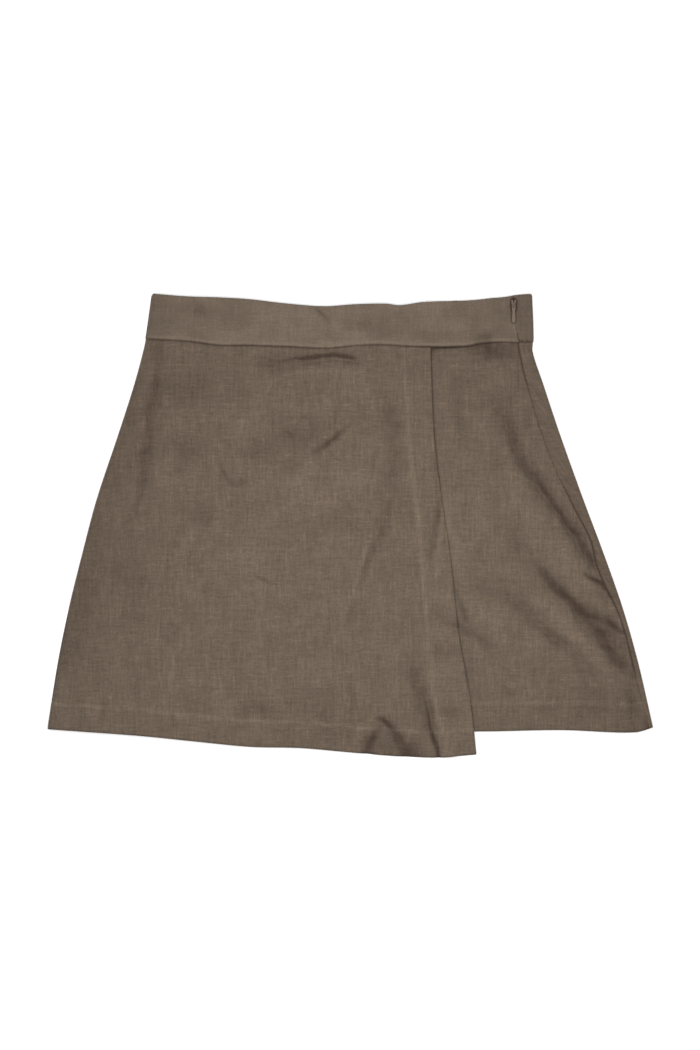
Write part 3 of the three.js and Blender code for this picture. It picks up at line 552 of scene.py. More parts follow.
def flap_relief(x, down):
    from_fold = right_side(down) - x
    seed = SEEDS["flap"]
    return 0.25 * soft_noise(from_fold, down, 5, 60, seed) + 0.08 * soft_noise(from_fold, down, 3, 17, seed + 1)


def band_flap_relief(x, down):
    return 0.4 * flap_relief(x, down)


# ---- Tone: painted shade and painted highlight ----
# From -1, painted shade deep in a fold or a seam, to 1, a painted highlight where the cloth is doubled and stitched.
# Painted shadow along the waist seam, where the panels go under the waistband.
SEAM_TONES = {  # how dark the line under the waistband is along it
    "x": (-186, -160, -138, -110, -92, -60, -20, 40, 72, 110, 130, 138, 144, 168),
    "dark": (0.6, 0.8, 1.1, 0.9, 1.2, 1.1, 0.8, 0.9, 1.5, 1.5, 1.2, 0.8, 0.1, 0.1),
}
# Painted highlight along the facing's line of stitches, and a little over the doubled strip beyond it.
FACING_TONES = {
    "down": (50, 120, 150, 200, 300, 357, 400, 430),
    "pale": (0.1, 0.2, 0.26, 0.28, 0.24, 0.22, 0.15, 0.1),
}
# Painted shadow along the wrap panel's free edge, and on the leg beside it.
EDGE_TONES = {"down": (50, 150, 180, 200, 240, 270, 430), "dark": (0.8, 0.8, 0.5, 0.1, 0.1, 0.5, 0.5)}
# Painted shade along the side seam.
SIDE_TONES = {
    "down": (45, 55, 80, 95, 170, 185, 230, 265, 330, 345, 356, 400),
    "dark": (0.4, 0.7, 0.6, 0.1, 0.1, 0.6, 0.8, 0.6, 0.6, 0.8, 0, 0),
}
# Painted shade along the waistband's lips beside the zip's opening, and a little painted highlight lower down on the
# front's lip.
LIP_TONES = {"down": (4, 7, 17, 26, 29, 40, 44), "tone": (0, -1, -0.8, -0.6, 0.3, 0.3, 0)}
FLAP_LIP_TONES = {"down": (4, 7, 17, 26, 29, 36, 39, 46), "tone": (0, -1, -0.6, -0.5, -0.1, -0.2, -1, -1)}
# Painted shade over the flaps folded round the right side.
FLAP_SHADE = -0.22
# Painted shade round the rim of each cloth shell.
RIM_SHADE = -0.3
# How dark the painted shade along a hem's own edge is.
HEM_EDGE_SHADE = 0.4
# How pale the painted highlight along a leg hem's stitches is.
HEM_HIGHLIGHT = 0.15
# How dark the painted shadow round the zip's pull is, on the band and on the flap.
PULL_SHADE = {"band": 0.55, "flap": 0.3}


def straight(table, source, target):
    """Straight runs through a table: its column `target` as a function of its column `source`."""
    return lambda x: np.interp(x, table[source], table[target])


seam_shadow = straight(SEAM_TONES, "x", "dark")
facing_highlight = straight(FACING_TONES, "down", "pale")
edge_shadow = straight(EDGE_TONES, "down", "dark")
side_seam_shade = straight(SIDE_TONES, "down", "dark")
lip_tone = straight(LIP_TONES, "down", "tone")
flap_lip_tone = straight(FLAP_LIP_TONES, "down", "tone")


def shaded_from(distance, strength, reach):
    """A soft shade that fades away from an edge."""
    return -strength * np.exp(-np.clip(distance, 0, None) / reach)


def hem_edge_shade(to_hem):
    """Painted shade along a hem's own edge."""
    return HEM_EDGE_SHADE * line(to_hem, 1.1)


def hem_stitch_highlight(to_hem):
    """A painted highlight along the line where a leg's hem is stitched."""
    return HEM_HIGHLIGHT * line(to_hem - LEG_HEM_DEPTH, 1.8)


# Painted shade and highlight on the wrap panel: painted shade in its creases, towards its left side, under the
# waistband, along the waist seam, its hem's edge and its free edge; painted highlight along the facing's and the hem's
# stitches.
def wrap_tone(x, down):
    below = down - waist_seam(x)
    to_hem = wrap_hem(x) - down
    from_left = x - wrap_side(down)
    past_facing = x - facing_seam(down)
    tone = crease_tone(WRAP_CREASES, x, down)
    # painted highlight along the facing's stitches and over the doubled strip
    stitched_line = line(past_facing, 1.6) * (1 + 0.6 * ripple(down, 7, seed=85))
    tone += facing_highlight(down) * (stitched_line + 0.12 * grows(past_facing, -1, 3))
    # painted highlight along the wrap hem's stitches
    tone += (0.18 + 0.16 * ripple(x, 9, seed=83)) * line(to_hem - WRAP_HEM_DEPTH, 1.7)
    calm = (1 - 0.7 * grows(down, 320, 60)) * (0.4 + 0.6 * grows(down, 50, 70))
    # painted shade towards the left side and below the waistband
    tone += calm * (shaded_from(from_left, 0.16, 12) + shaded_from(from_left, 0.2, 50)) + shaded_from(below, 0.1, 40)
    tone -= seam_shadow(x) * line(below, 1.2)
    return tone - np.maximum(hem_edge_shade(to_hem), 0.5 * edge_shadow(down) * line(wrap_edge(down) - x, 0.7))


# Painted shade and highlight on the shown front leg: painted shade in its creases, under the waistband, towards the
# side seam, beside the wrap panel's top corner and edge, along the seams and the hem's edge, and a little over the hem
# band; painted highlight along the hem's stitches.
def leg_tone(x, down):
    from_edge = x - wrap_edge(down)
    below = down - waist_seam(x)
    to_seam = side_seam(down) - x
    to_hem = leg_hem(x) - down
    tone = crease_tone(LEG_CREASES, x, down) + hem_stitch_highlight(to_hem) - 0.04 * ease((LEG_HEM_DEPTH - to_hem) / 3)
    tone += shaded_from(below, 0.16, 14) + shaded_from(below, 0.1, 60) + shaded_from(to_seam, 0.08, 20)
    tone -= seam_shadow(x) * line(below, 1.4) + edge_shadow(down) * line(from_edge, 0.9)
    tone -= 0.5 * line(from_edge, 6) * line(below - 2, 4) + 0.9 * line(from_edge - 8, 14) * line(below - 1.4, 1)
    return tone - side_seam_shade(down) * line(to_seam, 1.0) - hem_edge_shade(to_hem)


def pull_shade(x, down, strength):
    """Painted shadow round the zip's pull, on the cloth under it."""
    tip = SLIDER_DOWN + PIVOT["below"] + PULL["length"] - PULL["width"] / 2
    away = np.hypot(x - SLIDER_X, np.clip(down - tip, 0, None)) - PULL["width"] / 2
    return -strength * line(away - 0.3, 0.9) * grows(down - SLIDER_DOWN, 3, 3)


# Painted shade and highlight on the waistband's front, with random blotches: painted shade towards its left end and
# its zip lip, along its lower edge, along the lip and round the zip's pull; painted highlight just above its lower
# edge and across its middle.
def band_tone(x, down):
    to_seam = waist_seam(x) - down
    lip = right_lip(down) - x
    blotch = 0.1 * soft_noise(x, down, 28, 11, seed=97) + 0.06 * soft_noise(x, down, 12, 7, seed=98)
    # painted highlight just above the lower edge and across the middle
    pale = 0.24 * line(to_seam - 1.4, 1.2) + 0.12 * line(x, 110)
    ends = shaded_from(x - left_side(down), 0.2, 20) + shaded_from(lip, 0.1, 16)
    tone = crease_tone(BAND_CREASES, x, down) + blotch + pale + ends - 0.4 * seam_shadow(x) * line(to_seam, 0.5)
    return tone + lip_tone(down) * line(lip, 0.8) + pull_shade(x, down, PULL_SHADE["band"])


# Painted shade over the leg's folded-round flap, weaker near its top and at its lowest part, and along the side seam
# and the hem's edge.
def flap_tone(x, down):
    tone = FLAP_SHADE + 0.06 * ease((200 - down) / 60) + 0.14 * grows(down, 346, 10)
    return tone - side_seam_shade(down) * line(x - side_seam(down), 0.8) - hem_edge_shade(leg_hem(x) - down)


def back_tone(x, down):
    """Tone of the back, which lies on the table: painted shade and highlight in its creases, painted shade under the
    waistband, along its left side, along the waist seam, between the legs and at the hem's edge, and a painted
    highlight along the hem's stitches.
    """
    below = down - waist_seam(x)
    to_hem = leg_hem(x) - down
    from_centre = np.abs(x - middle(down)) - leg_parting(down)
    tone = crease_tone(BACK_CREASES, x, down) + hem_stitch_highlight(to_hem) - hem_edge_shade(to_hem)
    tone += shaded_from(below, 0.16, 14) + shaded_from(below, 0.1, 50) + shaded_from(x - left_side(down), 0.16, 20)
    return tone - line(below - 0.6, 1.2) - 0.7 * line(from_centre, 1.0)


# Random blotches, with a painted highlight just above the waist seam and painted shadow along it.
def band_back_tone(x, down):
    to_seam = waist_seam(x) - down
    blotch = 0.14 * soft_noise(x, down, 26, 12, seed=99) + 0.08 * soft_noise(x, down, 11, 7, seed=100)
    return blotch + 0.2 * line(to_seam - 1.4, 1.2) - 0.6 * line(to_seam, 0.6)


# Painted shade over the waistband's flap, along its waist seam and its zip lip, and round the zip's pull.
def band_flap_tone(x, down):
    seam = line(waist_seam(x) - down, 1.2) * (0.8 + 0.7 * ripple(x, 2, seed=91))
    lip = flap_lip_tone(down) * line(x - left_lip(down), 0.8)
    return FLAP_SHADE - seam + lip + pull_shade(x, down, PULL_SHADE["flap"])


# ---- Strips of a panel ----
# A strip gives, for shares from 0 to 1 across it and for distances down, where the middle of the cloth lies (x and z)
# and where that is on the cut (u).
def lying(left, right, shares, face, thick=CLOTH, cut=lambda x, down: x):
    def place(share, down):
        x = mix(left(down), right(down), share)
        return x, face(x, down) - thick / 2, cut(x, down)

    return shares, place


def rolled_edge(edge, face, foot, thick=CLOTH, steps=6):
    """A left edge that rolls down to a foot."""

    def place(share, down):
        inner = edge(down) + ROLL
        turn = share * math.pi / 2
        height = face(inner, down) - foot
        x = inner - (ROLL - thick / 2) * np.cos(turn)
        z = foot + (height - thick / 2) * np.sin(turn)
        return x, z, inner - (1 - share) * height * math.pi / 2

    return np.arange(steps) / steps, place


def fold_line(top):
    """Where the turn of a back piece starts, below a flap whose outer face lies at `top`."""
    return lambda down: right_side(down) - top / 2


def folded_side(top, thick=CLOTH, inward=constant(0), steps=10):
    """The turn of a back piece round its right side, up to that flap."""
    radius = top / 2

    def place(share, down):
        turn = share * math.pi
        fold = fold_line(top)(down)
        bent = radius - thick / 2 - inward(fold, down)
        return fold + bent * np.sin(turn), radius - bent * np.cos(turn), fold + turn * radius

    return even(steps), place


def flap(top, end, shares, relief, thick=CLOTH, inward=constant(0)):
    """The flap beyond that turn, from the fold to its end."""
    radius = top / 2

    def place(share, down):
        fold = fold_line(top)(down)
        x = mix(fold, end(down), share)
        z = top - thick / 2 + ease(share * 2) * relief(x, down) - inward(x, down)
        return x, z, fold + math.pi * radius + fold - x

    return shares, place


def panel_grid(strips, rows, top, hem, high, low):
    """Points of the middle of a panel's cloth and their places on the cut, row by row. `high` and `low` are about how
    far down its top and hem are."""
    points, cut = [], []
    for shares, place in strips:
        shares = np.asarray(shares, float)[None, :]
        start = top(place(shares, np.full(shares.shape, float(high)))[0])
        end = hem(place(shares, np.full(shares.shape, float(low)))[0])
        down = mix(start, end, rows[:, None])
        x, z, u = place(np.broadcast_to(shares, down.shape), down)
        points.append(np.stack([x, down, z], axis=-1))
        cut.append(np.stack([u, down], axis=-1))
    return np.concatenate(points, axis=1), np.concatenate(cut, axis=1)


def even(count):
    return np.arange(count + 1) / count


def crowded(count, *spots):
    """Shares from 0 to 1 that crowd round each spot: where it is, how far it reaches and how many times denser."""
    t = np.linspace(0, 1, 2000)
    density = 1 + sum((times - 1) * line(t - at, reach) for at, reach, times in spots)
    filled = np.cumsum(density) - density[0]
    return np.interp(even(count) * filled[-1], filled, t)


# ---- Cloth shells ----
RIM_STEPS = 4
SLIDER_X = 150.4
SLIDER_DOWN = 11
slider_middle = np.mean(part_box("zip_slider"), axis=0) / MM
ORIGIN = (slider_middle[0] - SLIDER_X, slider_middle[1] + SLIDER_DOWN)


def on_table(points):
    """Points (x, down, z) in millimetres, as places in the model's frame in metres."""
    x, down, z = np.moveaxis(np.asarray(points, float), -1, 0)
    return np.stack([x + ORIGIN[0], ORIGIN[1] - down, z], axis=-1) * MM


def rim_loop(rows, columns):
    """Row and column of each point round a grid's border."""
    loop = [(0, c) for c in range(columns)]
    loop += [(r, columns - 1) for r in range(1, rows)]
    loop += [(rows - 1, c) for c in range(columns - 2, -1, -1)]
    loop += [(r, 0) for r in range(rows - 2, 0, -1)]
    return np.array(loop).T


def unit(vectors):
    return vectors / np.linalg.norm(vectors, axis=-1, keepdims=True)


def shell_points(points, r, c, half):
    """Points of a shell's two faces and, beyond its border at rows r and columns c, of its half-round rim."""
    rows, columns = points.shape[:2]
    down_way = unit(np.gradient(points, axis=0))
    across_way = unit(np.gradient(points, axis=1))
    normal = unit(np.cross(down_way, across_way))
    out_row = ((r == rows - 1) * 1.0 - (r == 0))[:, None]
    out_column = ((c == columns - 1) * 1.0 - (c == 0))[:, None]
    outward = unit(down_way[r, c] * out_row + across_way[r, c] * out_column)
    rings = []
    for turn in np.arange(1, RIM_STEPS) * math.pi / RIM_STEPS:
        rings.append(points[r, c] + half * (normal[r, c] * math.cos(turn) + outward * math.sin(turn)))
    return np.vstack([(points + normal * half).reshape(-1, 3), (points - normal * half).reshape(-1, 3), *rings])


def shell_faces(rows, columns, r, c):
    """Corners of the faces between those points."""
    count = rows * columns
    index = np.arange(count).reshape(rows, columns)
    front = np.stack([index[:-1, :-1], index[1:, :-1], index[1:, 1:], index[:-1, 1:]], axis=-1).reshape(-1, 4)
    border = index[r, c]
    rings = 2 * count + np.arange((RIM_STEPS - 1) * len(r)).reshape(-1, len(r))
    edges = np.vstack([border, rings, border + count])
    upper, lower = edges[:-1], edges[1:]
    rim = np.stack([upper, np.roll(upper, -1, axis=1), np.roll(lower, -1, axis=1), lower], axis=-1)
    return np.vstack([front, front[:, ::-1] + count, rim.reshape(-1, 4)])


def shell(name, grid, cut, tones, thick, material):
    """A closed shell of cloth about a grid of points, with the cut as its UV and with its tones, its painted shade and
    highlight.
    """
    rows, columns = grid.shape[:2]
    r, c = rim_loop(rows, columns)
    mesh = bpy.data.meshes.new(name)
    vertices = shell_points(on_table(grid), r, c, thick * MM / 2)
    mesh.from_pydata(vertices.tolist(), [], shell_faces(rows, columns, r, c).tolist())
    places = np.vstack([cut.reshape(-1, 2)] * 2 + [cut[r, c]] * (RIM_STEPS - 1)) * MM
    corners = np.empty(len(mesh.loops), np.int32)
    mesh.loops.foreach_get("vertex_index", corners)
    mesh.uv_layers.new(name="grain").data.foreach_set("uv", places[corners].astype(np.float32).ravel())
    # the rim takes its border's tone plus painted shade
    values = np.concatenate([tones.ravel(), tones.ravel(), np.tile(tones[r, c] + RIM_SHADE, RIM_STEPS - 1)])
    mesh.attributes.new("tone", "FLOAT", "POINT").data.foreach_set("value", values.astype(np.float32))
    mesh.materials.append(material)
    mesh.shade_smooth()
    mesh.update()
    return piece(name, mesh)


def piece(name, mesh):
    made = bpy.data.objects.new(name, mesh)
    bpy.context.scene.collection.objects.link(made)
    return made


def declare(made, slot, body="garment", node=None):
    """Attaches a finished piece to the body it rides on and hides the solid it stands for; `slot` is not used."""
    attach(made, body)
    if node:
        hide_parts(node)


def cut_area(cut):
    """Area inside a grid's border on the flat cut, in square metres."""
    r, c = rim_loop(*cut.shape[:2])
    u, v = cut[r, c].T * MM
    return abs(u @ np.roll(v, -1) - v @ np.roll(u, -1)) / 2


def on_top(height):
    """1 where a rolled panel lies on top, 0 where it lies on the table."""
    return ease((height - height.min()) / (height.max() - height.min()) * 2 - 0.6)


def sewn_panel(
    name, node, strips, rows, span, slot="linen", thick=CLOTH, tone=constant(0), top_tone=None, rests_on=()
):
    """`tone` gives its tone, its painted shade and highlight, at (x, down), and `top_tone` that of the part that is
    folded on to the front.
    """
    grid, cut = panel_grid(strips, rows, **span)
    x, down, height = np.moveaxis(grid, -1, 0)
    tones = tone(x, down)
    if top_tone:
        tones = mix(tones, top_tone(x, down), on_top(height))
    made = shell(name, grid, cut, tones, thick, CLOTH_FINISHES[slot])
    declare(made, slot, node=node)
    size = np.ptp(cut.reshape(-1, 2), axis=0) * MM
    area = min(cut_area(cut), size[0] * size[1])


# ---- Materials ----
# Tints for the tone attribute: the first is the colour of painted shade, which the random clouds also mix in a little;
# the second is a painted highlight, which the band's random blotches also use.
PAINTED_SHADE_AND_CLOUD_TINT = (0.395, 0.345, 0.335, 1)  # what the darkest tone multiplies the cloth's colour by
PAINTED_HIGHLIGHT_TINT = (1.38, 1.38, 1.36, 1)  # what the palest multiplies it by
LINEN_MIDDLE = 0.484  # how far the cloth's usual colour is from its darkest thread to its palest
THREAD_PITCH = 0.62 * MM
GRAIN = {  # lumps of each noise across and down the cut, and where it starts
    "warp": {"size": (1.6, 22), "start": 0},
    "warp_broad": {"size": (3, 48), "start": 3.1},
    "warp_short": {"size": (2.8, 12), "start": 21.3},
    "weft": {"size": (9, 1.6), "start": 5.7},
    "weft_broad": {"size": (34, 3), "start": 8.3},
    "warp_slub": {"size": (1.3, 17), "start": 27.9},
    "weft_slub": {"size": (11, 1.3), "start": 33.7},
    "mottle": {"size": (2.1, 2.1), "start": 17.1},
    "cloud": {"size": (16, 26), "start": 12.9, "detail": 2.0},
}
THREAD_SHARES = {"warp": 0.22, "warp_broad": 0.13, "warp_short": 0.13, "weft": 0.22, "weft_broad": 0.18}
MOTTLE_SHARE = 0.28
CLOUD_SHARE = 0.38
SLUB_FROM = 0.62  # noise above this is a slub, a thick, pale stretch of a thread


def set_inputs(node, inputs):
    """Sets each named or numbered input of a node to a value, or joins it to a socket."""
    for name, value in inputs.items():
        if isinstance(value, bpy.types.NodeSocket):
            node.id_data.links.new(value, node.inputs[name])
        else:
            node.inputs[name].default_value = value


def add_node(tree, kind, inputs=None, **settings):
    node = tree.nodes.new(kind)
    for name, value in settings.items():
        setattr(node, name, value)
    set_inputs(node, inputs or {})
    return node


def result(tree, kind, inputs=None, **settings):
    """The first output of a new node."""
    return add_node(tree, kind, inputs, **settings).outputs[0]


def maths(operation, *values):
    """The result of a Math node, whose first value is a socket."""
    return result(values[0].id_data, "ShaderNodeMath", dict(enumerate(values)), operation=operation)


def linear(red, green, blue):
    """A colour given on the screen's scale from 0 to 255."""
    scaled = [c / 255 for c in (red, green, blue)]
    return (*(c / 12.92 if c <= 0.04045 else ((c + 0.055) / 1.055) ** 2.4 for c in scaled), 1)


def sum_of(start, terms):
    """start plus each socket less a half, times its weight."""
    total = start - sum(weight for _, weight in terms) / 2
    for socket, weight in terms:
        total = maths("MULTIPLY_ADD", socket, weight, total)
    return total


def mixed(factor, dark, pale, **settings):
    """A colour from dark to pale, or as `settings` mix them."""
    node = add_node(factor.id_data, "ShaderNodeMix", data_type="RGBA", clamp_factor=True, **settings)
    set_inputs(node, {0: factor, 6: dark, 7: pale})
    return node.outputs[2]


def grain_noise(grain, size, start, detail=1.0):
    """Noise drawn out along the threads."""
    tree = grain.id_data
    scale = (1 / (size[0] * MM), 1 / (size[1] * MM), 1)
    moved = result(tree, "ShaderNodeMapping", {"Vector": grain, "Scale": scale, "Location": (start, start * 1.7, 0)})
    settings = {"Vector": moved, "Scale": 1.0, "Detail": detail, "Roughness": 0.55}
    return result(tree, "ShaderNodeTexNoise", settings, noise_dimensions="2D")


def object_noise(tree, scale, detail):
    place = add_node(tree, "ShaderNodeTexCoord").outputs["Object"]
    return result(tree, "ShaderNodeTexNoise", {"Vector": place, "Scale": scale, "Detail": detail})


def wave(place, length):
    """A sine wave along a coordinate."""
    return maths("SINE", maths("MULTIPLY", place, 2 * math.pi / length))


def finished(name, build):
    """A new material, whose shader's inputs `build` works out in its node tree."""
    material = bpy.data.materials.new(name)
    material.use_nodes = True
    tree = material.node_tree
    set_inputs(tree.nodes["Principled BSDF"], build(tree))
    return material


def bumped(height, depth, strength):
    inputs = {"Height": height, "Distance": depth * MM, "Strength": strength}
    return result(height.id_data, "ShaderNodeBump", inputs)


def linen_colour(tree, noise, dark, pale, streak):
    """The colours of uneven threads, with clouds, with painted shade in the folds and a painted highlight where the
    cloth is doubled.
    """
    threads = [(noise[name], share * streak) for name, share in THREAD_SHARES.items()]
    tone = sum_of(LINEN_MIDDLE, [*threads, (noise["mottle"], MOTTLE_SHARE)])
    for name in ("warp_slub", "weft_slub"):
        above = maths("SUBTRACT", noise[name], SLUB_FROM)
        tone = maths("MULTIPLY_ADD", maths("MAXIMUM", above, 0.0), streak, tone)
    # The tone attribute: painted shade below 0, painted highlight above 0.
    painted_shade_and_highlight = add_node(tree, "ShaderNodeAttribute", attribute_name="tone").outputs["Fac"]
    # Painted shade, with the random clouds, mixes the colour towards the shade tint; painted highlight then mixes it
    # paler.
    sunk = maths("MULTIPLY_ADD", painted_shade_and_highlight, -1.0, sum_of(0.15, [(noise["cloud"], CLOUD_SHARE)]))
    colour = mixed(sunk, mixed(tone, dark, pale), PAINTED_SHADE_AND_CLOUD_TINT, blend_type="MULTIPLY")
    return mixed(painted_shade_and_highlight, colour, PAINTED_HIGHLIGHT_TINT, blend_type="MULTIPLY")


def weave_height(grain, noise):
    """Relief of threads that pass over and under each other."""
    place = add_node(grain.id_data, "ShaderNodeSeparateXYZ", {0: grain}).outputs
    over = [wave(place[i], 2 * THREAD_PITCH) for i in (0, 1)]
    terms = [(maths("MULTIPLY", *over), 0.2)]
    terms += [(maths("ABSOLUTE", thread), 0.4) for thread in over]
    return sum_of(0.5, [*terms, (noise["warp"], 0.6), (noise["weft"], 0.5), (noise["mottle"], 0.4)])


def linen(name, dark, pale, streak=1.0):
    """Plain-weave linen: `streak` is how uneven its threads are."""

    def build(tree):
        grain = result(tree, "ShaderNodeUVMap", uv_map="grain")
        noise = {kind: grain_noise(grain, **sizes) for kind, sizes in GRAIN.items()}
        return {
            "Base Color": linen_colour(tree, noise, dark, pale, streak),
            "Normal": bumped(weave_height(grain, noise), 0.22, 0.5),
            "Roughness": sum_of(0.88, [(noise["warp"], 0.12), (noise["mottle"], 0.08)]),
            "Specular IOR Level": 0.22,
            "Sheen Weight": 0.12,
            "Sheen Roughness": 0.45,
            "Sheen Tint": (0.9, 0.82, 0.72, 1),
        }

    return finished(name, build)


def varied(colour, factor, darkest, palest):
    """A colour that a factor from 0 to 1 makes darker or paler."""
    return mixed(factor, *((*(c * times for c in colour[:3]), 1) for times in (darkest, palest)))


def thread_finish(name, colour):
    """Twisted sewing thread."""

    def build(tree):
        twist = object_noise(tree, 1400.0, 1.0)
        return {
            "Base Color": varied(colour, twist, 0.85, 1.18),
            "Normal": bumped(twist, 0.1, 0.4),
            "Roughness": 0.7,
        }

    return finished(name, build)


def tape_finish(name, colour):
    """Knitted zip tape: fine ribs along it."""

    def build(tree):
        place = add_node(tree, "ShaderNodeTexCoord").outputs["Object"]
        rib = wave(result(tree, "ShaderNodeSeparateXYZ", {0: place}), 0.7 * MM)
        height = sum_of(0.5, [(rib, 0.4), (object_noise(tree, 900.0, 2.0), 0.6)])
        return {
            "Base Color": varied(colour, height, 0.8, 1.2),
            "Normal": bumped(height, 0.2, 0.6),
            "Roughness": 0.88,
        }

    return finished(name, build)


def lacquer_finish(name, colour):
    """Lacquer baked on zinc: smooth, with a faint orange-peel and duller spots."""

    def build(tree):
        peel = object_noise(tree, 700.0, 2.0)
        return {
            "Base Color": varied(colour, peel, 0.92, 1.08),
            "Normal": bumped(peel, 0.05, 0.25),
            "Roughness": sum_of(0.46, [(peel, 0.2)]),
            "Specular IOR Level": 0.3,
            "Coat Weight": 0.1,
            "Coat Roughness": 0.35,
        }

    return finished(name, build)


CLOTH_FINISHES = {
    "linen": linen("body_linen", linear(67, 58.6, 50.3), linear(141.2, 123.5, 106.3)),
    "waistband_linen": linen("waistband_linen", linear(81.5, 71, 61), linear(139.2, 123, 106.8), streak=0.7),
    "zip_tape": tape_finish("zip_tape", linear(60, 52, 45)),
}
sewing_thread = thread_finish("sewing_thread", linear(112, 99, 87))
zip_coil = thread_finish("zip_coil", linear(76, 66, 57))
lacquer = lacquer_finish("zip_lacquer", linear(110, 94, 79))


# ---- Panels ----
def inner_left(down):
    return middle(down) + leg_parting(down)


def inner_right(down):
    return middle(down) - leg_parting(down)


def tucked_top(x):
    return waist_seam(x) - TUCK


LEG_SPAN = {"top": tucked_top, "hem": leg_hem, "high": 50, "low": 403}


def wrap_panel():
    across = crowded(205, (0.04, 0.05, 1.6), (0.85, 0.1, 1.6), (1, 0.01, 4))
    strips = [
        rolled_edge(wrap_side, wrap_face, LINEN + GAP),
        lying(lambda down: wrap_side(down) + ROLL, wrap_edge, across, wrap_face),
    ]
    rows = crowded(205, (0.01, 0.01, 3), (0.045, 0.02, 3.5), (0.94, 0.03, 1.6))
    span = {"top": tucked_top, "hem": wrap_hem, "high": 50, "low": 415}
    under = ["front_left_leg", "front_right_leg"]
    sewn_panel("cloth_wrap_panel", "front_wrap_panel", strips, rows, span, tone=wrap_tone, rests_on=under)


def leg(name, strips, rows, **settings):
    sewn_panel(f"cloth_{name}", name, strips, rows, LEG_SPAN, **settings)


def legs():
    across = crowded(190, (0.72, 0.3, 3.2), (1, 0.02, 4))
    shown = [lying(inner_left, side_seam, across, leg_face)]
    leg("front_left_leg", shown, crowded(230, (0.01, 0.01, 3)), tone=leg_tone, rests_on=["back_left_leg"])
    covered = [lying(lambda down: left_side(down) + HIDDEN_INSET, inner_right, even(60), covered_face)]
    leg("front_right_leg", covered, even(80), rests_on=["back_right_leg"])
    leg("back_right_leg", [lying(left_side, inner_right, even(120), back_face)], even(200), tone=back_tone)
    rolled = [
        lying(inner_left, fold_line(LEG_TOP), even(120)[:-1], back_face),
        folded_side(LEG_TOP, inward=drawn_in),
        flap(LEG_TOP, side_seam, even(14)[1:], flap_relief, inward=drawn_in),
    ]
    leg("back_left_leg", rolled, even(220), tone=back_tone, top_tone=flap_tone)


def band(name, strips, top_edge, **settings):
    rows = crowded(36, (0, 0.06, 2.5), (0.12, 0.06, 3), (1, 0.06, 2.5))
    span = {"top": lambda x: top_edge(x) + BAND / 2, "hem": waist_seam, "high": 3, "low": 45}
    sewn_panel(f"cloth_{name}", name, strips, rows, span, slot="waistband_linen", thick=BAND, **settings)


def right_lip(down):
    return zip_line(down) - zip_apart(down) / 2


def left_lip(down):
    return zip_line(down) + zip_apart(down) / 2


def waistband():
    across = crowded(200, (0.99, 0.02, 5))
    front = [
        rolled_edge(left_side, band_face, BAND + GAP, BAND),
        lying(lambda down: left_side(down) + ROLL, right_lip, across, band_face, BAND),
    ]
    band("waistband_front", front, band_top_edge, tone=band_tone, rests_on=["waistband_back"])
    back = [
        lying(left_side, fold_line(BAND_TOP), even(90)[:-1], constant(BAND), BAND),
        folded_side(BAND_TOP, BAND),
        flap(BAND_TOP, left_lip, crowded(28, (1, 0.3, 3))[1:], band_flap_relief, BAND),
    ]
    band("waistband_back", back, back_top_edge, tone=band_back_tone, top_tone=band_flap_tone)


# ---- Stitches ----
STITCH = {"pitch": 2.8, "length": 2.3, "width": 0.45, "height": 0.34}
COIL = {"pitch": 1.1, "length": 0.8, "width": 1.0, "height": 0.7}
COIL_SPREAD = {"open": 0.9, "closed": 0.42}
PROUD = 0.02  # how far a stitch's middle is above the cloth
BACK_STITCH = 0.06  # and above the table, on the back


def stitch_tree():
    """Geometry nodes that lay rounded stitches end to end along a path."""
    tree = bpy.data.node_groups.new("running_stitch", "GeometryNodeTree")
    kinds = {"Path": "Geometry", **{size.capitalize(): "Float" for size in STITCH}, "Thread": "Material"}
    for name, kind in kinds.items():
        tree.interface.new_socket(name, in_out="INPUT", socket_type=f"NodeSocket{kind}")
    tree.interface.new_socket("Stitches", in_out="OUTPUT", socket_type="NodeSocketGeometry")
    given = add_node(tree, "NodeGroupInput").outputs
    curve = result(tree, "GeometryNodeMeshToCurve", {"Mesh": given["Path"]})
    spaced = result(tree, "GeometryNodeResampleCurve", {"Curve": curve, "Length": given["Pitch"]}, mode="LENGTH")
    way = result(tree, "GeometryNodeInputTangent")
    ahead = result(tree, "FunctionNodeAlignRotationToVector", {"Vector": way}, axis="X")
    flat = {"Rotation": ahead, "Vector": (0, 0, 1)}
    upright = result(tree, "FunctionNodeAlignRotationToVector", flat, axis="Z", pivot_axis="X")
    bead = result(tree, "GeometryNodeMeshUVSphere", {"Segments": 8, "Rings": 5, "Radius": 0.5})
    uneven = add_node(tree, "FunctionNodeRandomValue", {2: 0.88, 3: 1.08, "Seed": 7}, data_type="FLOAT").outputs[1]
    length = maths("MULTIPLY", given["Length"], uneven)
    size = result(tree, "ShaderNodeCombineXYZ", {0: length, 1: given["Width"], 2: given["Height"]})
    laid = {"Points": spaced, "Instance": bead, "Rotation": upright, "Scale": size}
    beads = result(tree, "GeometryNodeRealizeInstances", {0: result(tree, "GeometryNodeInstanceOnPoints", laid)})
    smooth = result(tree, "GeometryNodeSetShadeSmooth", {"Geometry": beads})
    finish = result(tree, "GeometryNodeSetMaterial", {"Geometry": smooth, "Material": given["Thread"]})
    add_node(tree, "NodeGroupOutput", {"Stitches": finish})
    return tree


running_stitch = stitch_tree()


def set_modifier(modifier, values):
    """Sets the named inputs of a geometry nodes modifier."""
    for item in modifier.node_group.interface.items_tree:
        if item.name in values and item.in_out == "INPUT":
            modifier[item.identifier] = values[item.name]


def evaluated_mesh(made):
    return bpy.data.meshes.new_from_object(made.evaluated_get(bpy.context.evaluated_depsgraph_get()))


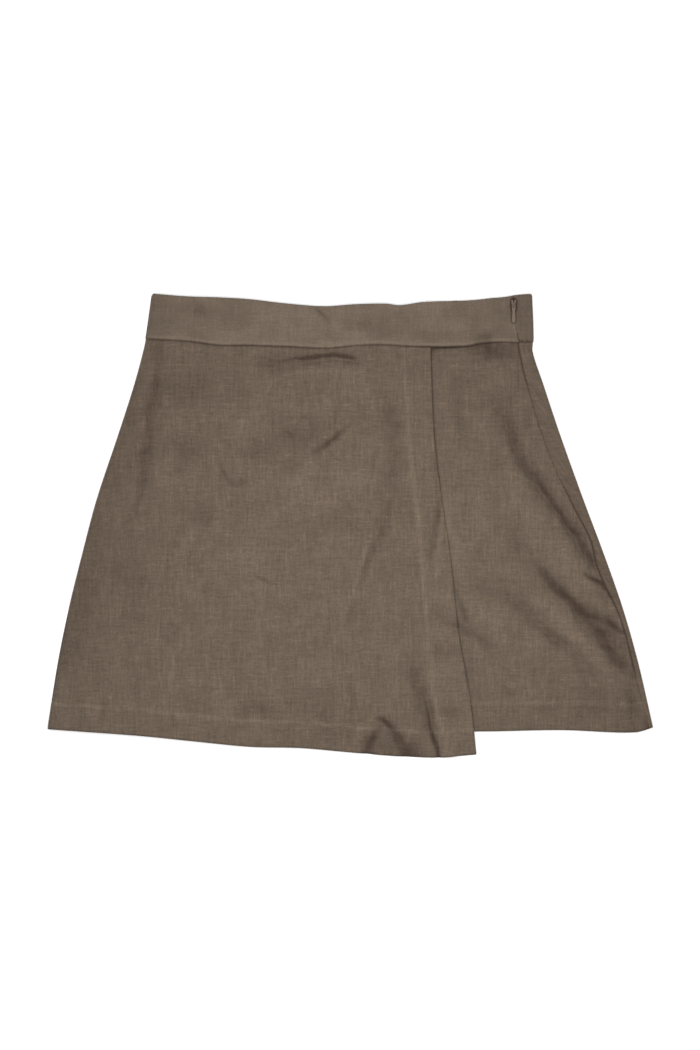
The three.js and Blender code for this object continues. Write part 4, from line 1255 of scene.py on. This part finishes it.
def stitch_row(name, x, down, z, thread=sewing_thread, slot="linen", sizes=STITCH):
    """A row of stitches along a path."""
    places = on_table(np.stack(np.broadcast_arrays(x, down, z), axis=-1))
    mesh = bpy.data.meshes.new(name)
    mesh.from_pydata(places.tolist(), [(i, i + 1) for i in range(len(places) - 1)], [])
    made = piece(name, mesh)
    modifier = made.modifiers.new("stitches", "NODES")
    modifier.node_group = running_stitch
    set_modifier(modifier, {**{key.capitalize(): size * MM for key, size in sizes.items()}, "Thread": thread})
    made.update_tag()
    made.data = evaluated_mesh(made)
    made.modifiers.clear()
    declare(made, slot)


def all_stitches():
    x = np.linspace(-274, 110, 200)
    down = wrap_hem(x) - WRAP_HEM_DEPTH
    stitch_row("stitches_wrap_hem", x, down, wrap_face(x, down) + PROUD)
    down = np.linspace(53, 424, 200)
    x = facing_seam(down)
    stitch_row("stitches_wrap_facing", x, down, wrap_face(x, down) + PROUD)
    hems = {"left_leg": (104, 272), "back_right": (-274, -12), "back_left": (14, 272)}
    for place, ends in hems.items():
        x = np.linspace(*ends, 120)
        down = leg_hem(x) - LEG_HEM_DEPTH
        height = BACK_STITCH if "back" in place else leg_face(x, down) + PROUD
        stitch_row(f"stitches_{place}_hem", x, down, height)


# ---- Zip ----
SLIDER = {"length": 9, "top_width": 4.2, "tail_width": 3, "thick": 1.6, "notch": 2.6, "horn": 1.1, "round": 0.3}
BRIDGE = {"width": 1.2, "length": 3.8, "height": 2.3, "rail": 0.6, "corner": 0.9, "sunk": 0.3}
PULL = {
    "length": 16.5, "width": 3.6, "thick": 0.9, "bar": 0.8, "fork": 2, "neck": 3, "waist": 0.66, "corner": 0.4,
    "round": 0.22,
}
PIVOT = {"below": 0.55, "above": 0.95}
SLIDER_FOOT = TAPE_TOP + GAP
SLIDER_TOP = SLIDER_FOOT + SLIDER["thick"]


def zip_centre(down):
    return np.where(down < 45, zip_line(down), side_seam(down))


def beside_zip(offset):
    return lambda down: zip_centre(down) + offset


def zip_tapes():
    """The tapes, and a coil that shows only above the slider and runs on under the seam."""
    left, right = beside_zip(-TAPE_WIDTH / 2), beside_zip(TAPE_WIDTH / 2)
    face = constant(TAPE_TOP - TAPE_CLOTH / 2)
    strip = lying(left, right, even(12), face, TAPE_CLOTH, cut=lambda x, down: x - zip_centre(down))
    end = ZIP_TOP + ZIP_LENGTH
    span = {"top": constant(ZIP_TOP), "hem": constant(end), "high": ZIP_TOP, "low": end}
    settings = {"slot": "zip_tape", "thick": TAPE_CLOTH, "rests_on": ["waistband_back"]}
    sewn_panel("cloth_zip_tape", "zip_tape", [strip], even(60), span, **settings)
    down = np.linspace(ZIP_TOP + 1, end - 4, 90)
    spread = np.where(down < SLIDER_DOWN, COIL_SPREAD["open"], COIL_SPREAD["closed"])
    for name, side in {"zip_coil_right": -1, "zip_coil_left": 1}.items():
        stitch_row(name, zip_centre(down) + side * spread, down, TAPE_TOP - 0.1, zip_coil, "zip_tape", COIL)


def rounded_curve(dimensions, radius):
    curve = bpy.data.curves.new("curve", "CURVE")
    curve.dimensions = dimensions
    curve.bevel_depth = radius
    curve.bevel_resolution = 2
    return curve


def curve_mesh(curve):
    """The mesh of a curve, with its thickness."""
    holder = piece("holder", curve)
    mesh = evaluated_mesh(holder)
    bpy.data.objects.remove(holder)
    return mesh


def plate(outline, holes, thick, round_edge):
    """A plate with rounded edges, cut to an outline, about z = 0."""
    curve = rounded_curve("2D", round_edge)
    curve.fill_mode = "BOTH"
    curve.extrude = thick / 2 - round_edge
    curve.offset = -round_edge
    for points in (outline, *holes):
        border = curve.splines.new("POLY")
        border.points.add(len(points) - 1)
        for at, (x, y) in zip(border.points, points):
            at.co = (x, y, 0, 1)
        border.use_cyclic_u = True
    return curve_mesh(curve)


def mirrored(right, tip):
    """A closed outline from its right half and the point on the centre line where that ends."""
    right = np.array(right)
    return np.vstack([right, [tip], right[::-1] * (-1, 1)])


def bezier(a, b, c, d, steps):
    t = (np.arange(steps) / steps)[:, None]
    a, b, c, d = (np.array(p, float) for p in (a, b, c, d))
    return (1 - t) ** 3 * a + 3 * t * (1 - t) ** 2 * b + 3 * t**2 * (1 - t) * c + t**3 * d


def slider_outline():
    end = SLIDER["length"] / 2
    tail = SLIDER["tail_width"] / 2
    top = SLIDER["top_width"] / 2
    horn = top - SLIDER["horn"]
    right = [
        (tail, -end), (tail + 0.2, -end + 2), (top, end - SLIDER["notch"]), (top, end - 0.4), (top - 0.35, end),
        (horn + 0.2, end), (horn, end - 0.5),
    ]
    return mirrored(right, (0, end - SLIDER["notch"]))


def pull_outline():
    """The drop's outline: from its bar in to its waist, out to its bulge and round its tip."""
    half, length = PULL["width"] / 2, PULL["length"]
    slim = half * PULL["waist"]
    shoulder = PULL["neck"] + 0.6
    bulge = (half, -(length - half - 1))
    neck = bezier((half, -shoulder), (slim, -shoulder - 2), (slim, -shoulder - 4), bulge, 12)
    tip = bezier(bulge, (half, mix(bulge[1], -length, 2 / 3)), (half * 2 / 3, -length), (0, -length), 10)
    return mirrored([(half, PULL["bar"] / 2), *neck, *tip], (0, -length))


def pull_eye():
    """The opening between the pull's bar and its neck."""
    side, neck, bar, corner = PULL["fork"] / 2, PULL["neck"], PULL["bar"] / 2, PULL["corner"]
    return [
        (-side, -bar), (-side, corner - neck), (corner - side, -neck), (side - corner, -neck), (side, corner - neck),
        (side, -bar),
    ]


def bridge_mesh():
    """The arch on the slider, round in section."""
    arch = rounded_curve("3D", BRIDGE["rail"] / 2)
    reach = BRIDGE["length"] / 2 - BRIDGE["rail"] / 2
    top = BRIDGE["height"] - BRIDGE["rail"] / 2
    corner = BRIDGE["corner"]
    half = [(reach, -BRIDGE["sunk"]), (reach, top - corner), (reach - corner, top)]
    stops = half + [(-y, z) for y, z in half[::-1]]
    rail = arch.splines.new("BEZIER")
    rail.bezier_points.add(len(stops) - 1)
    for at, (y, z) in zip(rail.bezier_points, stops):
        at.co = (0, y, z)
        at.handle_left_type = at.handle_right_type = "AUTO"
    return curve_mesh(arch)


def zip_metal(name, mesh, below, z, wider=1, **declared):
    spots = np.empty(len(mesh.vertices) * 3)
    mesh.vertices.foreach_get("co", spots)
    spots = spots.reshape(-1, 3) * (wider * MM, MM, MM) + on_table([SLIDER_X, SLIDER_DOWN + below, z])
    mesh.vertices.foreach_set("co", spots.ravel())
    mesh.materials.clear()
    mesh.materials.append(lacquer)
    mesh.shade_smooth()
    mesh.update()
    declare(piece(name, mesh), "zip_lacquer", **declared)


def zip_hardware():
    thick = SLIDER["thick"]
    body = plate(slider_outline(), [], thick, SLIDER["round"])
    zip_metal("zip_slider_body", body, 0, SLIDER_FOOT + thick / 2, node="zip_slider")
    zip_metal("zip_slider_bridge", bridge_mesh(), 0, SLIDER_TOP, wider=BRIDGE["width"] / BRIDGE["rail"])
    drop = plate(pull_outline(), [pull_eye()], PULL["thick"], PULL["round"])
    zip_metal("zip_pull_tab", drop, PIVOT["below"], SLIDER_TOP + PIVOT["above"], body="pull", node="zip_pull")


# ---- Studio ----
VIEW_HEIGHT = 2.2
SEEN_LONG_SIDE = 0.965  # metres of the table that the view's long side takes in
SENSOR = 36
AIM = on_table([0, 213.9, 5])
WORLD_LIGHT = 0.3
LIGHTS = {
    "overhead": {"place": (0.04, -0.06, 0.95), "size": 0.4, "power": 6.7},
    "upper_left": {"place": (-1.0, 1.0, 1.3), "size": 0.7, "power": 6},
}
TABLE = {"half": 4, "top": -0.0004}
TABLE_WHITE = {
    "Base Color": (0.93, 0.93, 0.93, 1),
    "Roughness": 0.9,
    "Emission Color": (1, 1, 1, 1),
    "Emission Strength": 0.32,
}


def look_down():
    eye = bpy.data.cameras.new("camera")
    eye.sensor_fit = "VERTICAL"
    eye.sensor_height = SENSOR
    eye.lens = SENSOR * (VIEW_HEIGHT - AIM[2]) / SEEN_LONG_SIDE
    camera = piece("camera", eye)
    camera.location = (AIM[0], AIM[1], VIEW_HEIGHT)
    bpy.context.scene.camera = camera


def light_up():
    world = bpy.data.worlds.new("studio")
    world.use_nodes = True
    set_inputs(world.node_tree.nodes["Background"], {"Color": (1, 1, 1, 1), "Strength": WORLD_LIGHT})
    bpy.context.scene.world = world
    for name, lamp in LIGHTS.items():
        light = bpy.data.lights.new(name, "AREA")
        light.size = lamp["size"]
        light.energy = lamp["power"]
        x, y, z = lamp["place"]
        made = piece(name, light)
        made.location = lamp["place"]
        made.rotation_euler = (math.acos(z / math.hypot(x, y, z)), 0, math.atan2(-y, -x) - math.pi / 2)


def table_top():
    half, top = TABLE["half"], TABLE["top"]
    mesh = bpy.data.meshes.new("table")
    corners = ((-half, -half), (half, -half), (half, half), (-half, half))
    mesh.from_pydata([(x, y, top) for x, y in corners], [], [(0, 1, 2, 3)])
    mesh.materials.append(finished("table_white", lambda tree: TABLE_WHITE))
    piece("table", mesh)


bpy.context.scene.view_settings.view_transform = "Standard"
look_down()
light_up()
table_top()
wrap_panel()
legs()
waistband()
zip_tapes()
zip_hardware()
all_stitches()
